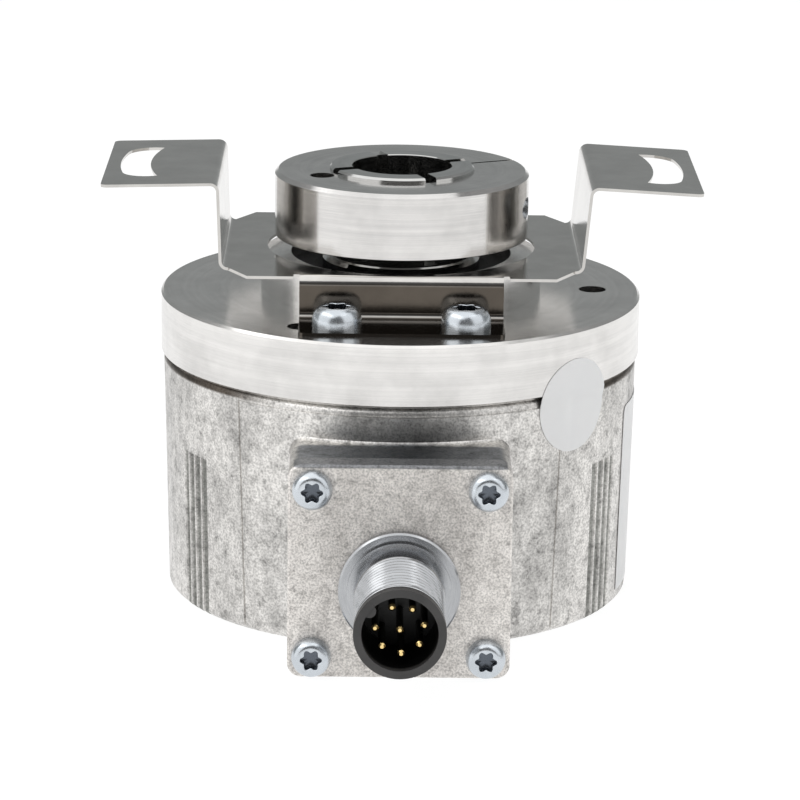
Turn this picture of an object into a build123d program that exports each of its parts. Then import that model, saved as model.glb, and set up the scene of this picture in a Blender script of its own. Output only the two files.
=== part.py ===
from build123d import *
import math
import os

# Hollow shaft rotary encoder with a radial plug connector and a spring bracket.
# Millimetres. Z is the shaft axis, the origin is on it in the flange face,
# +Z points to the clamp ring and -Y to the connector.

os.makedirs("parts", exist_ok=True)

# Fits
press_gap = 0.01
running_gap = 0.10
thread_gap = 0.01
screw_hole_gap = 0.10
cut_over = 1.0

# Hollow shaft
bore_diameter = 12.0
collet_diameter = 17.4
collet_height = 15.2
collar_diameter = 19.0
collar_height = 4.3
slit_width = 1.4
slit_angle = 23.0
slit_count = 4
slit_floor = 4.6
shaft_end_setback = 0.4
shaft_chamfer = 0.25
bore_chamfer = 0.1
shaft_groove_depth = 0.5

# Clamp ring
ring_diameter = 30.6
ring_bottom = 6.75
ring_height = 7.9
ring_chamfer = 0.45
ring_foot_chamfer = 0.1
ring_slit_width = 0.45
ring_slit_angle = 24.5
ring_relief_radius = 1.45
ring_relief_offset = 10.5
clamp_screw_offset = 12.25
clamp_screw_diameter = 2.5
clamp_screw_length = 10.0
clamp_screw_seat = 3.2
clamp_head_diameter = 4.5
clamp_head_height = 2.5
clamp_hex_width = 2.0
clamp_hex_depth = 1.2

# Ball bearings
bearing_bore = 17.0
bearing_outer = 26.0
bearing_width = 5.0
race_gap = 1.5
bearing_drop = 0.6
bearing_spacing = 4.0
ball_diameter = 2.6
ball_count = 12
race_clearance = 0.12
cage_clearance = 0.18
cage_drop = 0.9
cage_bridge = 0.6
bearing_chamfer = 0.25
spacer_step = 0.3

# Flange with boss and bearing hub
flange_diameter = 58.0
flange_thickness = 7.45
flange_chamfer = 0.3
boss_gap = 0.1
boss_height = 4.5
seal_bore_step = 0.3
seal_height = 3.0
seal_lift = 0.1
seal_lip_rise = 1.8
seal_lip_width = 0.5
seal_back_width = 0.9
hub_wall = 2.2
hub_reach = 1.8
bearing_land_wall = 1.1
retainer_thickness = 1.0
retainer_groove = 0.6
retainer_gap_angle = 30.0
retainer_cover = 0.1
mount_circle_diameter = 46.6
mount_hole_diameter = 3.3
mount_hole_depth = 6.0
mount_hole_count = 3
spigot_gap = 0.1
spigot_height = 3.0
spigot_wall = 2.0
oring_diameter = 1.0
oring_groove_width = 1.3
oring_lift = 0.03

# Spring bracket
sheet = 0.35
platform_height = 5.3
platform_half_depth = 17.4
platform_edge_half = 18.1
bracket_half_width = 13.2
arm_foot = 21.35
left_arm_top = 21.7
right_arm_top = 22.25
wing_height = 15.4
left_wing_droop = 0.35
right_wing_droop = 0.7
wing_margin = 1.6
wing_corner = 0.8
bend_radius = 0.9
fold_relief = 0.7
platform_hole_diameter = 32.3
slot_circle_diameter = 64.0
slot_width = 3.6
slot_half_angle = 16.0
slot_corner = 3.0
foot_half_width = 11.95
foot_margin = 0.7
foot_corner = 0.7
foot_screw_x = 7.5
head_gap = 0.03
foot_screw_diameter = 3.0
foot_screw_length = 6.0
foot_head_diameter = 5.8
foot_head_height = 2.5
head_rim_share = 0.28
recess_core_share = 0.34
recess_lobe_share = 0.12
recess_lobe_offset = 0.38
recess_depth_share = 0.6

# Die-cast housing
housing_top_diameter = 57.4
housing_back_diameter = 56.2
housing_wall = 2.5
housing_rim_radius = 1.1
housing_back_wall = 2.0
housing_back_chamfer = 0.4
back_opening_diameter = 19.4
seal_pocket_diameter = 24.0
seal_pocket_wall = 2.0
seal_pocket_depth = 3.0
rear_seal_height = 2.6
rear_lip_width = 0.6
rear_lip_height = 0.5
pad_half_top = 18.8
pad_half_bottom = 18.0
pad_rise = 0.25
pad_corner = 5.5
pad_margin = 0.5
flute_radius = 0.55
flute_setout = 0.1
flute_count = 4
flute_pitch_angle = 2.9
flute_first_angle = 27.0
flute_setback = 9.75

# Connector block and plate
plate_width = 25.4
plate_height = 25.2
plate_thickness = 3.0
plate_front = 38.6
plate_corner = 1.6
plate_edge = 0.25
block_step = 0.4
block_blend = 1.0
plate_screw_side = 2.75
plate_screw_end = 2.685
plate_screw_drop = 0.18
plate_screw_diameter = 2.5
plate_screw_length = 8.0
plate_head_diameter = 4.55
plate_head_height = 1.7
gasket_thickness = 0.5
gasket_width = 1.4
gasket_gap = 0.1
cavity_diameter = 16.4
cavity_overlap = 4.0

# Connector
connector_rise = 10.6
thread_diameter = 10.3
thread_length = 11.0
thread_chamfer = 0.3
neck_diameter = 9.6
neck_length = 2.0
inner_collar_diameter = 11.9
inner_collar_step = 0.6
outer_collar_diameter = 13.9
outer_collar_thickness = 1.0
collar_chamfer = 0.2
stem_diameter = 10.8
stem_length = 4.2
barrel_bore = 9.2
insert_ring_length = 1.3
socket_diameter = 8.5
socket_depth = 9.0
insert_tail = 2.0
key_radius = 0.75
key_angle = 52.6
key_setback = 0.2
pin_diameter = 0.8
pin_circle_diameter = 5.5
pin_count = 7
pin_gap_angle = 66.4
pin_setback = 1.5
pin_tail = 1.3
pin_chamfer = 0.2
nut_width = 13.0
nut_thickness = 2.4
tail_board_gap = 0.3
tail_board_thickness = 1.0
tail_board_clearance = 0.8
header_inset = 4.2
header_depth = 3.0
header_height = 2.4
header_margin = 1.0
header_chamfer = 0.3
cable_width = 6.0
cable_thickness = 0.6

# Posts, boards and optics
post_gap = 0.4
post_diameter = 4.6
post_count = 3
post_first_angle = 90.0
post_screw_diameter = 2.5
post_screw_reach = 3.0
post_head_diameter = 4.6
post_head_sink = 0.1
post_recess_depth = 1.1
thread_runout = 0.3
board_gap = 1.4
board_thickness = 1.6
board_hole_diameter = 22.0
board_space = 3.2
rear_space = 4.6
disc_gap = 0.6
disc_thickness = 0.9
shoulder_gap = 1.0
shoulder_height = 2.07
disc_seat = 1.4
disc_hub_gap = 0.3
disc_hub_tail = 1.7
disc_clamp_wall = 2.2
disc_clamp_height = 1.5
hub_screw_diameter = 1.4
hub_screw_sink = 0.3
optics_gap = 1.7
holder_width = 9.0
holder_gap = 0.3
holder_margin = 1.5
holder_lift = 2.6
holder_corner = 0.8
lamp_diameter = 3.0
lamp_length = 6.0
lamp_gap = 1.0
lamp_shift = 1.0
lamp_play = 0.05
sensor_width = 7.0
sensor_length = 9.0
sensor_height = 3.2
reticle_width = 5.0
reticle_length = 7.0
reticle_thickness = 0.9
reticle_gap = 0.6
chip_height = 1.2
processor_width = 7.0
processor_x = 17.5
processor_y = 4.0
driver_width = 5.0
driver_length = 6.0
driver_x = 17.5
driver_y = 6.0
memory_width = 4.0
memory_length = 5.0
memory_x = 14.0
memory_y = 14.5
capacitor_diameter = 4.0
capacitor_height = 2.8
capacitor_x = 14.0
capacitor_y = 14.5
capacitor_step_x = 5.0
capacitor_step_y = 4.0

# Places worked out from the sizes above
bore_r = bore_diameter / 2
collet_r = collet_diameter / 2
collar_r = collar_diameter / 2
journal_r = bearing_bore / 2 - press_gap
ring_r = ring_diameter / 2
ring_top = ring_bottom + ring_height
ring_mid = ring_bottom + ring_height / 2
front_bearing_top = -bearing_drop
front_bearing_back = front_bearing_top - bearing_width
rear_bearing_top = front_bearing_back - bearing_spacing
rear_bearing_back = rear_bearing_top - bearing_width
bearing_ring_wall = (bearing_outer - bearing_bore) / 4 - race_gap / 2
hub_r = bearing_outer / 2 + hub_wall
seal_bore_r = bearing_outer / 2 + seal_bore_step
boss_r = platform_half_depth - sheet - boss_gap
hub_back = rear_bearing_back - hub_reach
flange_r = flange_diameter / 2
flange_back = -flange_thickness
groove_top = rear_bearing_back - press_gap
groove_back = groove_top - retainer_thickness - 2 * press_gap
disc_hub_top = groove_back - disc_hub_gap
disc_top = shoulder_height - disc_hub_top
sensor_board_top = disc_top + disc_thickness + reticle_gap + reticle_thickness + sensor_height
main_board_top = sensor_board_top + board_thickness + board_space
housing_floor = -main_board_top - board_thickness - rear_space
housing_back = housing_floor - housing_back_wall
housing_length = flange_back - housing_back
shaft_back = housing_back + shaft_end_setback
mount_circle_r = mount_circle_diameter / 2
foot_bend_end = platform_half_depth + bend_radius - sheet / 2
foot_screw_y = foot_bend_end + foot_head_diameter / 2 + head_gap
foot_reach = foot_screw_y + foot_head_diameter / 2 + foot_margin
wing_reach = slot_circle_diameter / 2 + slot_width / 2 + wing_margin
housing_inner_r = housing_top_diameter / 2 - housing_wall
spigot_r = housing_inner_r - spigot_gap
post_circle_r = spigot_r - spigot_wall - post_gap - post_diameter / 2
board_r = housing_inner_r - board_gap
disc_r = post_circle_r - post_diameter / 2 - disc_gap
optics_radius = hub_r + optics_gap
plate_back = plate_front - plate_thickness
plate_bottom = housing_back
plate_top = plate_bottom + plate_height
plate_middle = (plate_top + plate_bottom) / 2
plate_screw_x = plate_width / 2 - plate_screw_side
plate_screw_z = plate_height / 2 - plate_screw_end
plate_screw_middle = plate_middle - plate_screw_drop
connector_height = housing_back + connector_rise
disc_back = -disc_top - disc_thickness
sensor_board_back = -sensor_board_top - board_thickness
main_board_back = -main_board_top - board_thickness


# A ring or tube between two heights
def tube(inner_radius, outer_radius, bottom, top):
    with BuildPart() as piece:
        with BuildSketch(Plane.XY.offset(bottom)):
            Circle(outer_radius)
            Circle(inner_radius, mode=Mode.SUBTRACT)
        extrude(amount=top - bottom)
    return piece


# A solid of revolution about Z from points of radius and height
def turned(points):
    with BuildPart() as piece:
        with BuildSketch(Plane.XZ):
            with BuildLine():
                Polyline(*points, close=True)
            make_face()
        revolve(axis=Axis.Z)
    return piece


# A pan-head screw with a six-lobe recess, its head seated on z = 0
def pan_screw(shank_diameter, length, head_diameter, head_height):
    head_r = head_diameter / 2
    rim = head_height * head_rim_share
    rise = head_height - rim
    dome_radius = (head_r**2 + rise**2) / (2 * rise)
    with BuildPart() as screw:
        with BuildSketch(Plane.XZ):
            with BuildLine():
                foot = Line((0, 0), (head_r, 0))
                side = Line(foot @ 1, (head_r, rim))
                dome = RadiusArc(side @ 1, (0, head_height), -dome_radius)
                Line(dome @ 1, foot @ 0)
            make_face()
        revolve(axis=Axis.Z)
        with BuildSketch(Plane.XY.offset(-length)):
            Circle(shank_diameter / 2)
        extrude(amount=length)
        with BuildSketch(Plane.XY.offset(head_height)):
            Circle(head_r * recess_core_share)
            with PolarLocations(head_r * recess_lobe_offset, 6):
                Circle(head_r * recess_lobe_share)
        extrude(amount=-head_height * recess_depth_share, mode=Mode.SUBTRACT)
    return screw


# Flange: turned aluminium disc with the front boss, the bearing hub behind and the spigot
hub_step = bearing_outer / 2 - bearing_land_wall
groove_mid = flange_back - spigot_height / 2
with BuildPart() as bearing_flange:
    with BuildSketch(Plane.XZ):
        with BuildLine():
            Polyline(
                (seal_bore_r, boss_height),
                (boss_r - flange_chamfer, boss_height),
                (boss_r, boss_height - flange_chamfer),
                (boss_r, 0),
                (flange_r - flange_chamfer, 0),
                (flange_r, -flange_chamfer),
                (flange_r, flange_back + flange_chamfer),
                (flange_r - flange_chamfer, flange_back),
                (spigot_r, flange_back),
                (spigot_r, groove_mid + oring_groove_width / 2),
                (spigot_r - oring_diameter, groove_mid + oring_groove_width / 2),
                (spigot_r - oring_diameter, groove_mid - oring_groove_width / 2),
                (spigot_r, groove_mid - oring_groove_width / 2),
                (spigot_r, flange_back - spigot_height),
                (spigot_r - spigot_wall, flange_back - spigot_height),
                (spigot_r - spigot_wall, flange_back),
                (hub_r, flange_back),
                (hub_r, hub_back),
                (bearing_outer / 2, hub_back),
                (bearing_outer / 2, groove_back),
                (bearing_outer / 2 + retainer_groove, groove_back),
                (bearing_outer / 2 + retainer_groove, groove_top),
                (bearing_outer / 2, groove_top),
                (bearing_outer / 2, rear_bearing_top),
                (hub_step, rear_bearing_top),
                (hub_step, front_bearing_back),
                (bearing_outer / 2, front_bearing_back),
                (bearing_outer / 2, -seal_lift),
                (seal_bore_r, -seal_lift),
                close=True,
            )
        make_face()
    revolve(axis=Axis.Z)
    with Locations(Plane.XY):
        with PolarLocations(mount_circle_r, mount_hole_count):
            Hole(mount_hole_diameter / 2, depth=mount_hole_depth)
        with Locations(
            (foot_screw_x, -foot_screw_y),
            (-foot_screw_x, -foot_screw_y),
            (foot_screw_x, foot_screw_y),
            (-foot_screw_x, foot_screw_y),
        ):
            Hole(foot_screw_diameter / 2 + thread_gap, depth=foot_screw_length)
    with BuildSketch(Plane.XY.offset(flange_back)):
        with PolarLocations(post_circle_r, post_count, start_angle=post_first_angle):
            Circle(post_screw_diameter / 2 + thread_gap)
    extrude(amount=post_screw_reach + thread_runout, mode=Mode.SUBTRACT)
bearing_flange.part.label = "bearing_flange"
export_step(bearing_flange.part, "parts/bearing_flange.step")

# Seal between flange and collar: rubber ring pressed into the boss
shaft_seal = turned(
    [
        (collar_r + running_gap, seal_lip_rise),
        (collar_r + running_gap + seal_lip_width, -seal_lift),
        (seal_bore_r - press_gap, -seal_lift),
        (seal_bore_r - press_gap, seal_height - seal_lift),
        (collar_r + running_gap + seal_back_width, seal_height - seal_lift),
        (collar_r + running_gap, seal_lip_rise + seal_lip_width),
    ]
)
shaft_seal.part.label = "shaft_seal"
export_step(shaft_seal.part, "parts/shaft_seal.step")

# Ball bearings: each has an inner and an outer ring with a ball track, a crown cage and balls
pitch_r = (bearing_bore + bearing_outer) / 4
track_r = ball_diameter / 2 + race_clearance
inner_ring_r = bearing_bore / 2 + bearing_ring_wall
outer_ring_r = bearing_outer / 2 - bearing_ring_wall


def bearing_ring(inner_radius, outer_radius, top):
    with BuildPart() as piece:
        with BuildSketch(Plane.XY.offset(top - bearing_width)):
            Circle(outer_radius)
            Circle(inner_radius, mode=Mode.SUBTRACT)
        extrude(amount=bearing_width)
        chamfer(piece.edges().filter_by(GeomType.CIRCLE), bearing_chamfer)
        with BuildSketch(Plane.XZ):
            with Locations((pitch_r, top - bearing_width / 2)):
                Circle(track_r)
        revolve(axis=Axis.Z, mode=Mode.SUBTRACT)
    return piece


def bearing_balls(top):
    with BuildPart() as piece:
        with Locations(Plane.XY.offset(top - bearing_width / 2)):
            with PolarLocations(pitch_r, ball_count):
                Sphere(ball_diameter / 2)
    return piece


def bearing_cage(top):
    middle = top - bearing_width / 2
    cage_top = middle + ball_diameter / 2 + cage_clearance + cage_bridge
    with BuildPart() as piece:
        with BuildSketch(Plane.XY.offset(middle - cage_drop)):
            Circle(outer_ring_r - cage_clearance)
            Circle(inner_ring_r + cage_clearance, mode=Mode.SUBTRACT)
        extrude(amount=cage_top - middle + cage_drop)
        with BuildSketch(Plane.XY.offset(cage_top - cage_bridge)):
            with PolarLocations(pitch_r, ball_count):
                Circle(ball_diameter / 2 + cage_clearance)
        extrude(amount=-bearing_width, mode=Mode.SUBTRACT)
    return piece


front_outer_ring = bearing_ring(outer_ring_r, bearing_outer / 2 - press_gap, front_bearing_top)
front_outer_ring.part.label = "front_bearing_outer_ring"
export_step(front_outer_ring.part, "parts/front_bearing_outer_ring.step")

front_inner_ring = bearing_ring(bearing_bore / 2, inner_ring_r, front_bearing_top)
front_inner_ring.part.label = "front_bearing_inner_ring"
export_step(front_inner_ring.part, "parts/front_bearing_inner_ring.step")

front_balls = bearing_balls(front_bearing_top)
front_balls.part.label = "front_bearing_balls"
export_step(front_balls.part, "parts/front_bearing_balls.step")

front_cage = bearing_cage(front_bearing_top)
front_cage.part.label = "front_bearing_cage"
export_step(front_cage.part, "parts/front_bearing_cage.step")

rear_outer_ring = bearing_ring(outer_ring_r, bearing_outer / 2 - press_gap, rear_bearing_top)
rear_outer_ring.part.label = "rear_bearing_outer_ring"
export_step(rear_outer_ring.part, "parts/rear_bearing_outer_ring.step")

rear_inner_ring = bearing_ring(bearing_bore / 2, inner_ring_r, rear_bearing_top)
rear_inner_ring.part.label = "rear_bearing_inner_ring"
export_step(rear_inner_ring.part, "parts/rear_bearing_inner_ring.step")

rear_balls = bearing_balls(rear_bearing_top)
rear_balls.part.label = "rear_bearing_balls"
export_step(rear_balls.part, "parts/rear_bearing_balls.step")

rear_cage = bearing_cage(rear_bearing_top)
rear_cage.part.label = "rear_bearing_cage"
export_step(rear_cage.part, "parts/rear_bearing_cage.step")

# Sleeve between the inner rings
bearing_spacer = tube(
    bearing_bore / 2, inner_ring_r - spacer_step, rear_bearing_top, front_bearing_back
)
bearing_spacer.part.label = "bearing_spacer"
export_step(bearing_spacer.part, "parts/bearing_spacer.step")


# A snap ring with an open gap, lying under the rear bearing
def snap_ring(inner_radius, outer_radius, gap_angle):
    top = rear_bearing_back - 2 * press_gap
    middle_radius = (inner_radius + outer_radius) / 2
    with BuildPart() as piece:
        with BuildSketch(Plane.XY.offset(top - retainer_thickness + press_gap)):
            Circle(outer_radius)
            Circle(inner_radius, mode=Mode.SUBTRACT)
            with Locations((0, middle_radius)):
                Rectangle(
                    2 * middle_radius * math.tan(math.radians(gap_angle / 2)),
                    2 * (outer_radius - inner_radius),
                    mode=Mode.SUBTRACT,
                )
        extrude(amount=retainer_thickness - press_gap)
    return piece


bearing_retainer = snap_ring(
    outer_ring_r + retainer_cover,
    bearing_outer / 2 + retainer_groove - press_gap,
    retainer_gap_angle,
)
bearing_retainer.part.label = "bearing_retainer"
export_step(bearing_retainer.part, "parts/bearing_retainer.step")

shaft_groove_r = journal_r - shaft_groove_depth
shaft_retainer = snap_ring(
    shaft_groove_r + press_gap, inner_ring_r - retainer_cover, retainer_gap_angle
)
shaft_retainer.part.label = "shaft_retainer"
export_step(shaft_retainer.part, "parts/shaft_retainer.step")

# Hollow shaft: journal for the bearings, collar under the seal and a slit collet for the clamp ring
with BuildPart() as hollow_shaft:
    with BuildSketch(Plane.XZ):
        with BuildLine():
            Polyline(
                (bore_r + bore_chamfer, collet_height),
                (collet_r - shaft_chamfer, collet_height),
                (collet_r, collet_height - shaft_chamfer),
                (collet_r, collar_height),
                (collar_r - (collar_r - collet_r) / 2, collar_height),
                (collar_r, collar_height - (collar_r - collet_r) / 2),
                (collar_r, front_bearing_top),
                (journal_r, front_bearing_top),
                (journal_r, groove_top),
                (shaft_groove_r, groove_top),
                (shaft_groove_r, groove_back),
                (journal_r, groove_back),
                (journal_r, shaft_back + shaft_chamfer),
                (journal_r - shaft_chamfer, shaft_back),
                (bore_r + bore_chamfer, shaft_back),
                (bore_r, shaft_back + bore_chamfer),
                (bore_r, collet_height - bore_chamfer),
                close=True,
            )
        make_face()
    revolve(axis=Axis.Z)
    with BuildSketch(Plane.XY.offset(slit_floor)):
        with PolarLocations(collet_r, slit_count, start_angle=slit_angle):
            Rectangle(bore_diameter, slit_width)
    extrude(amount=collet_height - slit_floor + cut_over, mode=Mode.SUBTRACT)
hollow_shaft.part.label = "hollow_shaft"
export_step(hollow_shaft.part, "parts/hollow_shaft.step")

# Clamp ring: one slit through its wall, a round relief opposite and a cross screw
slit_direction = math.radians(ring_slit_angle)
screw_x_dir = (math.cos(slit_direction), math.sin(slit_direction), 0)
screw_axis_dir = (math.sin(slit_direction), -math.cos(slit_direction), 0)
screw_centre = (
    clamp_screw_offset * math.cos(slit_direction),
    clamp_screw_offset * math.sin(slit_direction),
    ring_mid,
)
screw_plane = Plane(origin=screw_centre, x_dir=screw_x_dir, z_dir=screw_axis_dir)
with BuildPart() as clamp_ring:
    with BuildSketch(Plane.XZ):
        with BuildLine():
            Polyline(
                (collet_r + press_gap, ring_bottom),
                (ring_r - ring_foot_chamfer, ring_bottom),
                (ring_r, ring_bottom + ring_foot_chamfer),
                (ring_r, ring_top - ring_chamfer),
                (ring_r - ring_chamfer, ring_top),
                (collet_r + press_gap, ring_top),
                close=True,
            )
        make_face()
    revolve(axis=Axis.Z)
    with BuildSketch(Plane.XY.offset(ring_bottom)):
        with Locations(Location((0, 0, 0), (0, 0, ring_slit_angle))):
            with Locations((ring_r, 0)):
                Rectangle(ring_diameter - collet_r, ring_slit_width)
            with Locations((-ring_relief_offset, 0)):
                Circle(ring_relief_radius)
    extrude(amount=ring_height, mode=Mode.SUBTRACT)
    with BuildSketch(screw_plane):
        Circle(clamp_screw_diameter / 2 + thread_gap)
    extrude(amount=ring_r, mode=Mode.SUBTRACT)
    with BuildSketch(screw_plane):
        Circle(clamp_screw_diameter / 2 + screw_hole_gap)
    extrude(amount=-clamp_screw_seat, mode=Mode.SUBTRACT)
    with BuildSketch(screw_plane.offset(-clamp_screw_seat)):
        Circle(clamp_head_diameter / 2 + screw_hole_gap)
    extrude(amount=-ring_r, mode=Mode.SUBTRACT)
clamp_ring.part.label = "clamp_ring"
export_step(clamp_ring.part, "parts/clamp_ring.step")

# Clamp screw: hex socket cap screw that pulls the slit closed
with BuildPart() as clamp_screw:
    with BuildSketch(screw_plane.offset(-clamp_screw_seat)):
        Circle(clamp_screw_diameter / 2)
    extrude(amount=clamp_screw_length)
    with BuildSketch(screw_plane.offset(-clamp_screw_seat - clamp_head_height)):
        Circle(clamp_head_diameter / 2)
    extrude(amount=clamp_head_height)
    with BuildSketch(screw_plane.offset(-clamp_screw_seat - clamp_head_height)):
        RegularPolygon(clamp_hex_width / 2, 6, major_radius=False)
    extrude(amount=clamp_hex_depth, mode=Mode.SUBTRACT)
clamp_screw.part.label = "clamp_screw"
export_step(clamp_screw.part, "parts/clamp_screw.step")

# Spring bracket: thin stainless sheet with two feet on the flange, a platform and two slotted wings
half = sheet / 2
strip_points = [
    (-wing_reach, wing_height - left_wing_droop - half),
    (-left_arm_top, wing_height - half),
    (-arm_foot, platform_height - half),
    (arm_foot, platform_height - half),
    (right_arm_top, wing_height - half),
    (wing_reach, wing_height - right_wing_droop - half),
]
foot_wall = platform_half_depth - half
foot_points = [
    (0, platform_height - half),
    (foot_wall, platform_height - half),
    (foot_wall, half),
    (foot_reach, half),
]
slot_r = slot_circle_diameter / 2
with BuildPart() as mounting_bracket:
    with BuildSketch(Plane.XZ):
        with BuildLine() as strip_line:
            FilletPolyline(*strip_points, radius=bend_radius)
        trace(strip_line.line, line_width=sheet)
    extrude(amount=bracket_half_width, both=True)
    with BuildSketch(Plane.XY.offset(platform_height - sheet)):
        with BuildLine():
            Polyline(
                (-arm_foot + bend_radius, -bracket_half_width),
                (-platform_edge_half, -platform_half_depth),
                (platform_edge_half, -platform_half_depth),
                (arm_foot - bend_radius, -bracket_half_width),
                (arm_foot - bend_radius, bracket_half_width),
                (platform_edge_half, platform_half_depth),
                (-platform_edge_half, platform_half_depth),
                (-arm_foot + bend_radius, bracket_half_width),
                close=True,
            )
        make_face()
        with Locations((0, foot_wall), (0, -foot_wall)):
            Rectangle(
                2 * (foot_half_width + fold_relief), 2 * bend_radius, mode=Mode.SUBTRACT
            )
    extrude(amount=sheet)
    with BuildSketch(Plane.YZ):
        with BuildLine() as foot_line:
            FilletPolyline(*foot_points, radius=bend_radius)
        trace(foot_line.line, line_width=sheet)
        mirror(about=Plane.YZ)
    extrude(amount=foot_half_width, both=True)
    with BuildSketch(Plane.XY.offset(-cut_over)):
        Circle(platform_hole_diameter / 2)
    extrude(amount=platform_height + 2 * cut_over, mode=Mode.SUBTRACT)
    with BuildSketch(Plane.XY.offset(-cut_over)):
        with Locations(
            (foot_screw_x, -foot_screw_y),
            (-foot_screw_x, -foot_screw_y),
            (foot_screw_x, foot_screw_y),
            (-foot_screw_x, foot_screw_y),
        ):
            Circle(foot_screw_diameter / 2 + screw_hole_gap)
    extrude(amount=sheet + 2 * cut_over, mode=Mode.SUBTRACT)
    with BuildSketch(Plane.XY.offset(wing_height - 2 * cut_over)):
        for side in (0, 180):
            first_angle = side - slot_half_angle
            with BuildLine():
                inner = CenterArc((0, 0), slot_r - slot_width / 2, first_angle, 2 * slot_half_angle)
                outer = CenterArc((0, 0), slot_r + slot_width / 2, first_angle, 2 * slot_half_angle)
                Line(inner @ 0, outer @ 0)
                Line(inner @ 1, outer @ 1)
            make_face()
        outer_corners = vertices().filter_by(lambda spot: math.hypot(spot.X, spot.Y) > slot_r)
        fillet(outer_corners, slot_corner)
    extrude(amount=4 * cut_over, mode=Mode.SUBTRACT)
    sheet_edges = mounting_bracket.edges().filter_by(lambda edge: abs(edge.length - sheet) < 0.01)
    wing_tips = sheet_edges.group_by(Axis.X)
    fillet(wing_tips[0] + wing_tips[-1], wing_corner)
    sheet_edges = mounting_bracket.edges().filter_by(lambda edge: abs(edge.length - sheet) < 0.01)
    foot_tips = sheet_edges.group_by(Axis.Y)
    fillet(foot_tips[0] + foot_tips[-1], foot_corner)
mounting_bracket.part.label = "mounting_bracket"
export_step(mounting_bracket.part, "parts/mounting_bracket.step")

# Bracket screws: four pan-head screws through the feet into the flange
foot_screw = pan_screw(foot_screw_diameter, foot_screw_length, foot_head_diameter, foot_head_height)
with BuildPart() as bracket_screws:
    with Locations(
        (foot_screw_x, -foot_screw_y, sheet),
        (-foot_screw_x, -foot_screw_y, sheet),
        (foot_screw_x, foot_screw_y, sheet),
        (-foot_screw_x, foot_screw_y, sheet),
    ):
        add(foot_screw.part)
bracket_screws.part.label = "bracket_screws"
export_step(bracket_screws.part, "parts/bracket_screws.step")

# Housing: die-cast cap with taper, front pad, connector block and fluted sides
top_r = housing_top_diameter / 2
back_r = housing_back_diameter / 2
block_top = plate_top - block_step
block_bottom = housing_back
draft = math.degrees(math.atan((top_r - back_r) / housing_length))
with BuildPart() as pad:
    with BuildSketch(Plane.XZ):
        with BuildLine():
            Polyline(
                (-pad_half_top, flange_back - housing_rim_radius),
                (pad_half_top, flange_back - housing_rim_radius),
                (pad_half_bottom, housing_back + pad_margin),
                (-pad_half_bottom, housing_back + pad_margin),
                close=True,
            )
        make_face()
        fillet(vertices().group_by(Axis.Y)[0], pad_corner)
    extrude(amount=flange_diameter)
    with BuildSketch(Plane.XZ):
        with BuildLine():
            Polyline(
                (0, flange_back),
                (top_r + pad_rise, flange_back),
                (back_r + pad_rise, housing_back),
                (0, housing_back),
                close=True,
            )
        make_face()
    revolve(axis=Axis.Z, mode=Mode.INTERSECT)
with BuildPart() as housing:
    with BuildSketch(Plane.XZ):
        with BuildLine():
            Polyline(
                (0, flange_back),
                (top_r, flange_back),
                (back_r, housing_back + housing_back_chamfer),
                (back_r - housing_back_chamfer, housing_back),
                (0, housing_back),
                close=True,
            )
        make_face()
        fillet(vertices().sort_by(Axis.X)[-1], housing_rim_radius)
    revolve(axis=Axis.Z)
    with BuildSketch(Plane.XZ):
        with Locations((0, (block_top + block_bottom) / 2)):
            RectangleRounded(plate_width, block_top - block_bottom, plate_corner)
    extrude(amount=plate_back)
    blend_edges = housing.edges().filter_by(
        lambda edge: -top_r - 0.5 < edge.center().Y < -top_r + 5.5
        and edge.center().Z > housing_back + 1.5
        and abs(edge.center().X) < plate_width / 2 + 0.2
    )
    fillet(blend_edges, block_blend)
    add(pad.part)
    with BuildSketch(Plane.XY.offset(housing_floor)):
        Circle(housing_inner_r)
    extrude(amount=flange_back - housing_floor, mode=Mode.SUBTRACT)
    with BuildSketch(Plane.XY.offset(housing_floor)):
        Circle(seal_pocket_diameter / 2 + seal_pocket_wall)
    extrude(amount=seal_pocket_depth)
    with BuildSketch(Plane.XY.offset(housing_floor)):
        Circle(seal_pocket_diameter / 2)
    extrude(amount=seal_pocket_depth, mode=Mode.SUBTRACT)
    with BuildSketch(Plane.XY.offset(housing_back)):
        Circle(back_opening_diameter / 2)
    extrude(amount=housing_back_wall, mode=Mode.SUBTRACT)
    with BuildSketch(Plane.XZ.offset(housing_inner_r - cavity_overlap)):
        with Locations((0, connector_height)):
            Circle(cavity_diameter / 2)
    extrude(amount=plate_back - housing_inner_r + cavity_overlap, mode=Mode.SUBTRACT)
    with BuildSketch(Plane.XZ.offset(plate_back)):
        with Locations((0, plate_screw_middle)):
            with GridLocations(2 * plate_screw_x, 2 * plate_screw_z, 2, 2):
                Circle(plate_screw_diameter / 2 + thread_gap)
    extrude(amount=-(plate_screw_length - plate_thickness + cut_over), mode=Mode.SUBTRACT)
    back_plane = Plane(origin=(0, 0, housing_back), x_dir=(1, 0, 0), z_dir=(0, 0, -1))
    with Locations(back_plane):
        with PolarLocations(post_circle_r, post_count, start_angle=-post_first_angle):
            CounterSinkHole(
                post_screw_diameter / 2 + screw_hole_gap,
                post_head_diameter / 2 + screw_hole_gap,
                depth=housing_back_wall + cut_over / 2,
            )
    for quarter in (1, -1):
        for face in (0, 180):
            for step in range(flute_count):
                angle = face + quarter * (flute_first_angle + step * flute_pitch_angle)
                turn = math.radians(angle)
                out = (math.cos(turn), math.sin(turn), 0)
                lean = math.tan(math.radians(draft))
                start = Vector(*out) * (back_r + flute_setout)
                axis = Vector(out[0] * lean, out[1] * lean, 1)
                flute_plane = Plane(origin=start + Vector(0, 0, housing_back), z_dir=axis)
                with BuildSketch(flute_plane):
                    Circle(flute_radius)
                extrude(amount=housing_length - flute_setback, mode=Mode.SUBTRACT)
housing.part.label = "housing"
export_step(housing.part, "parts/housing.step")

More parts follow.
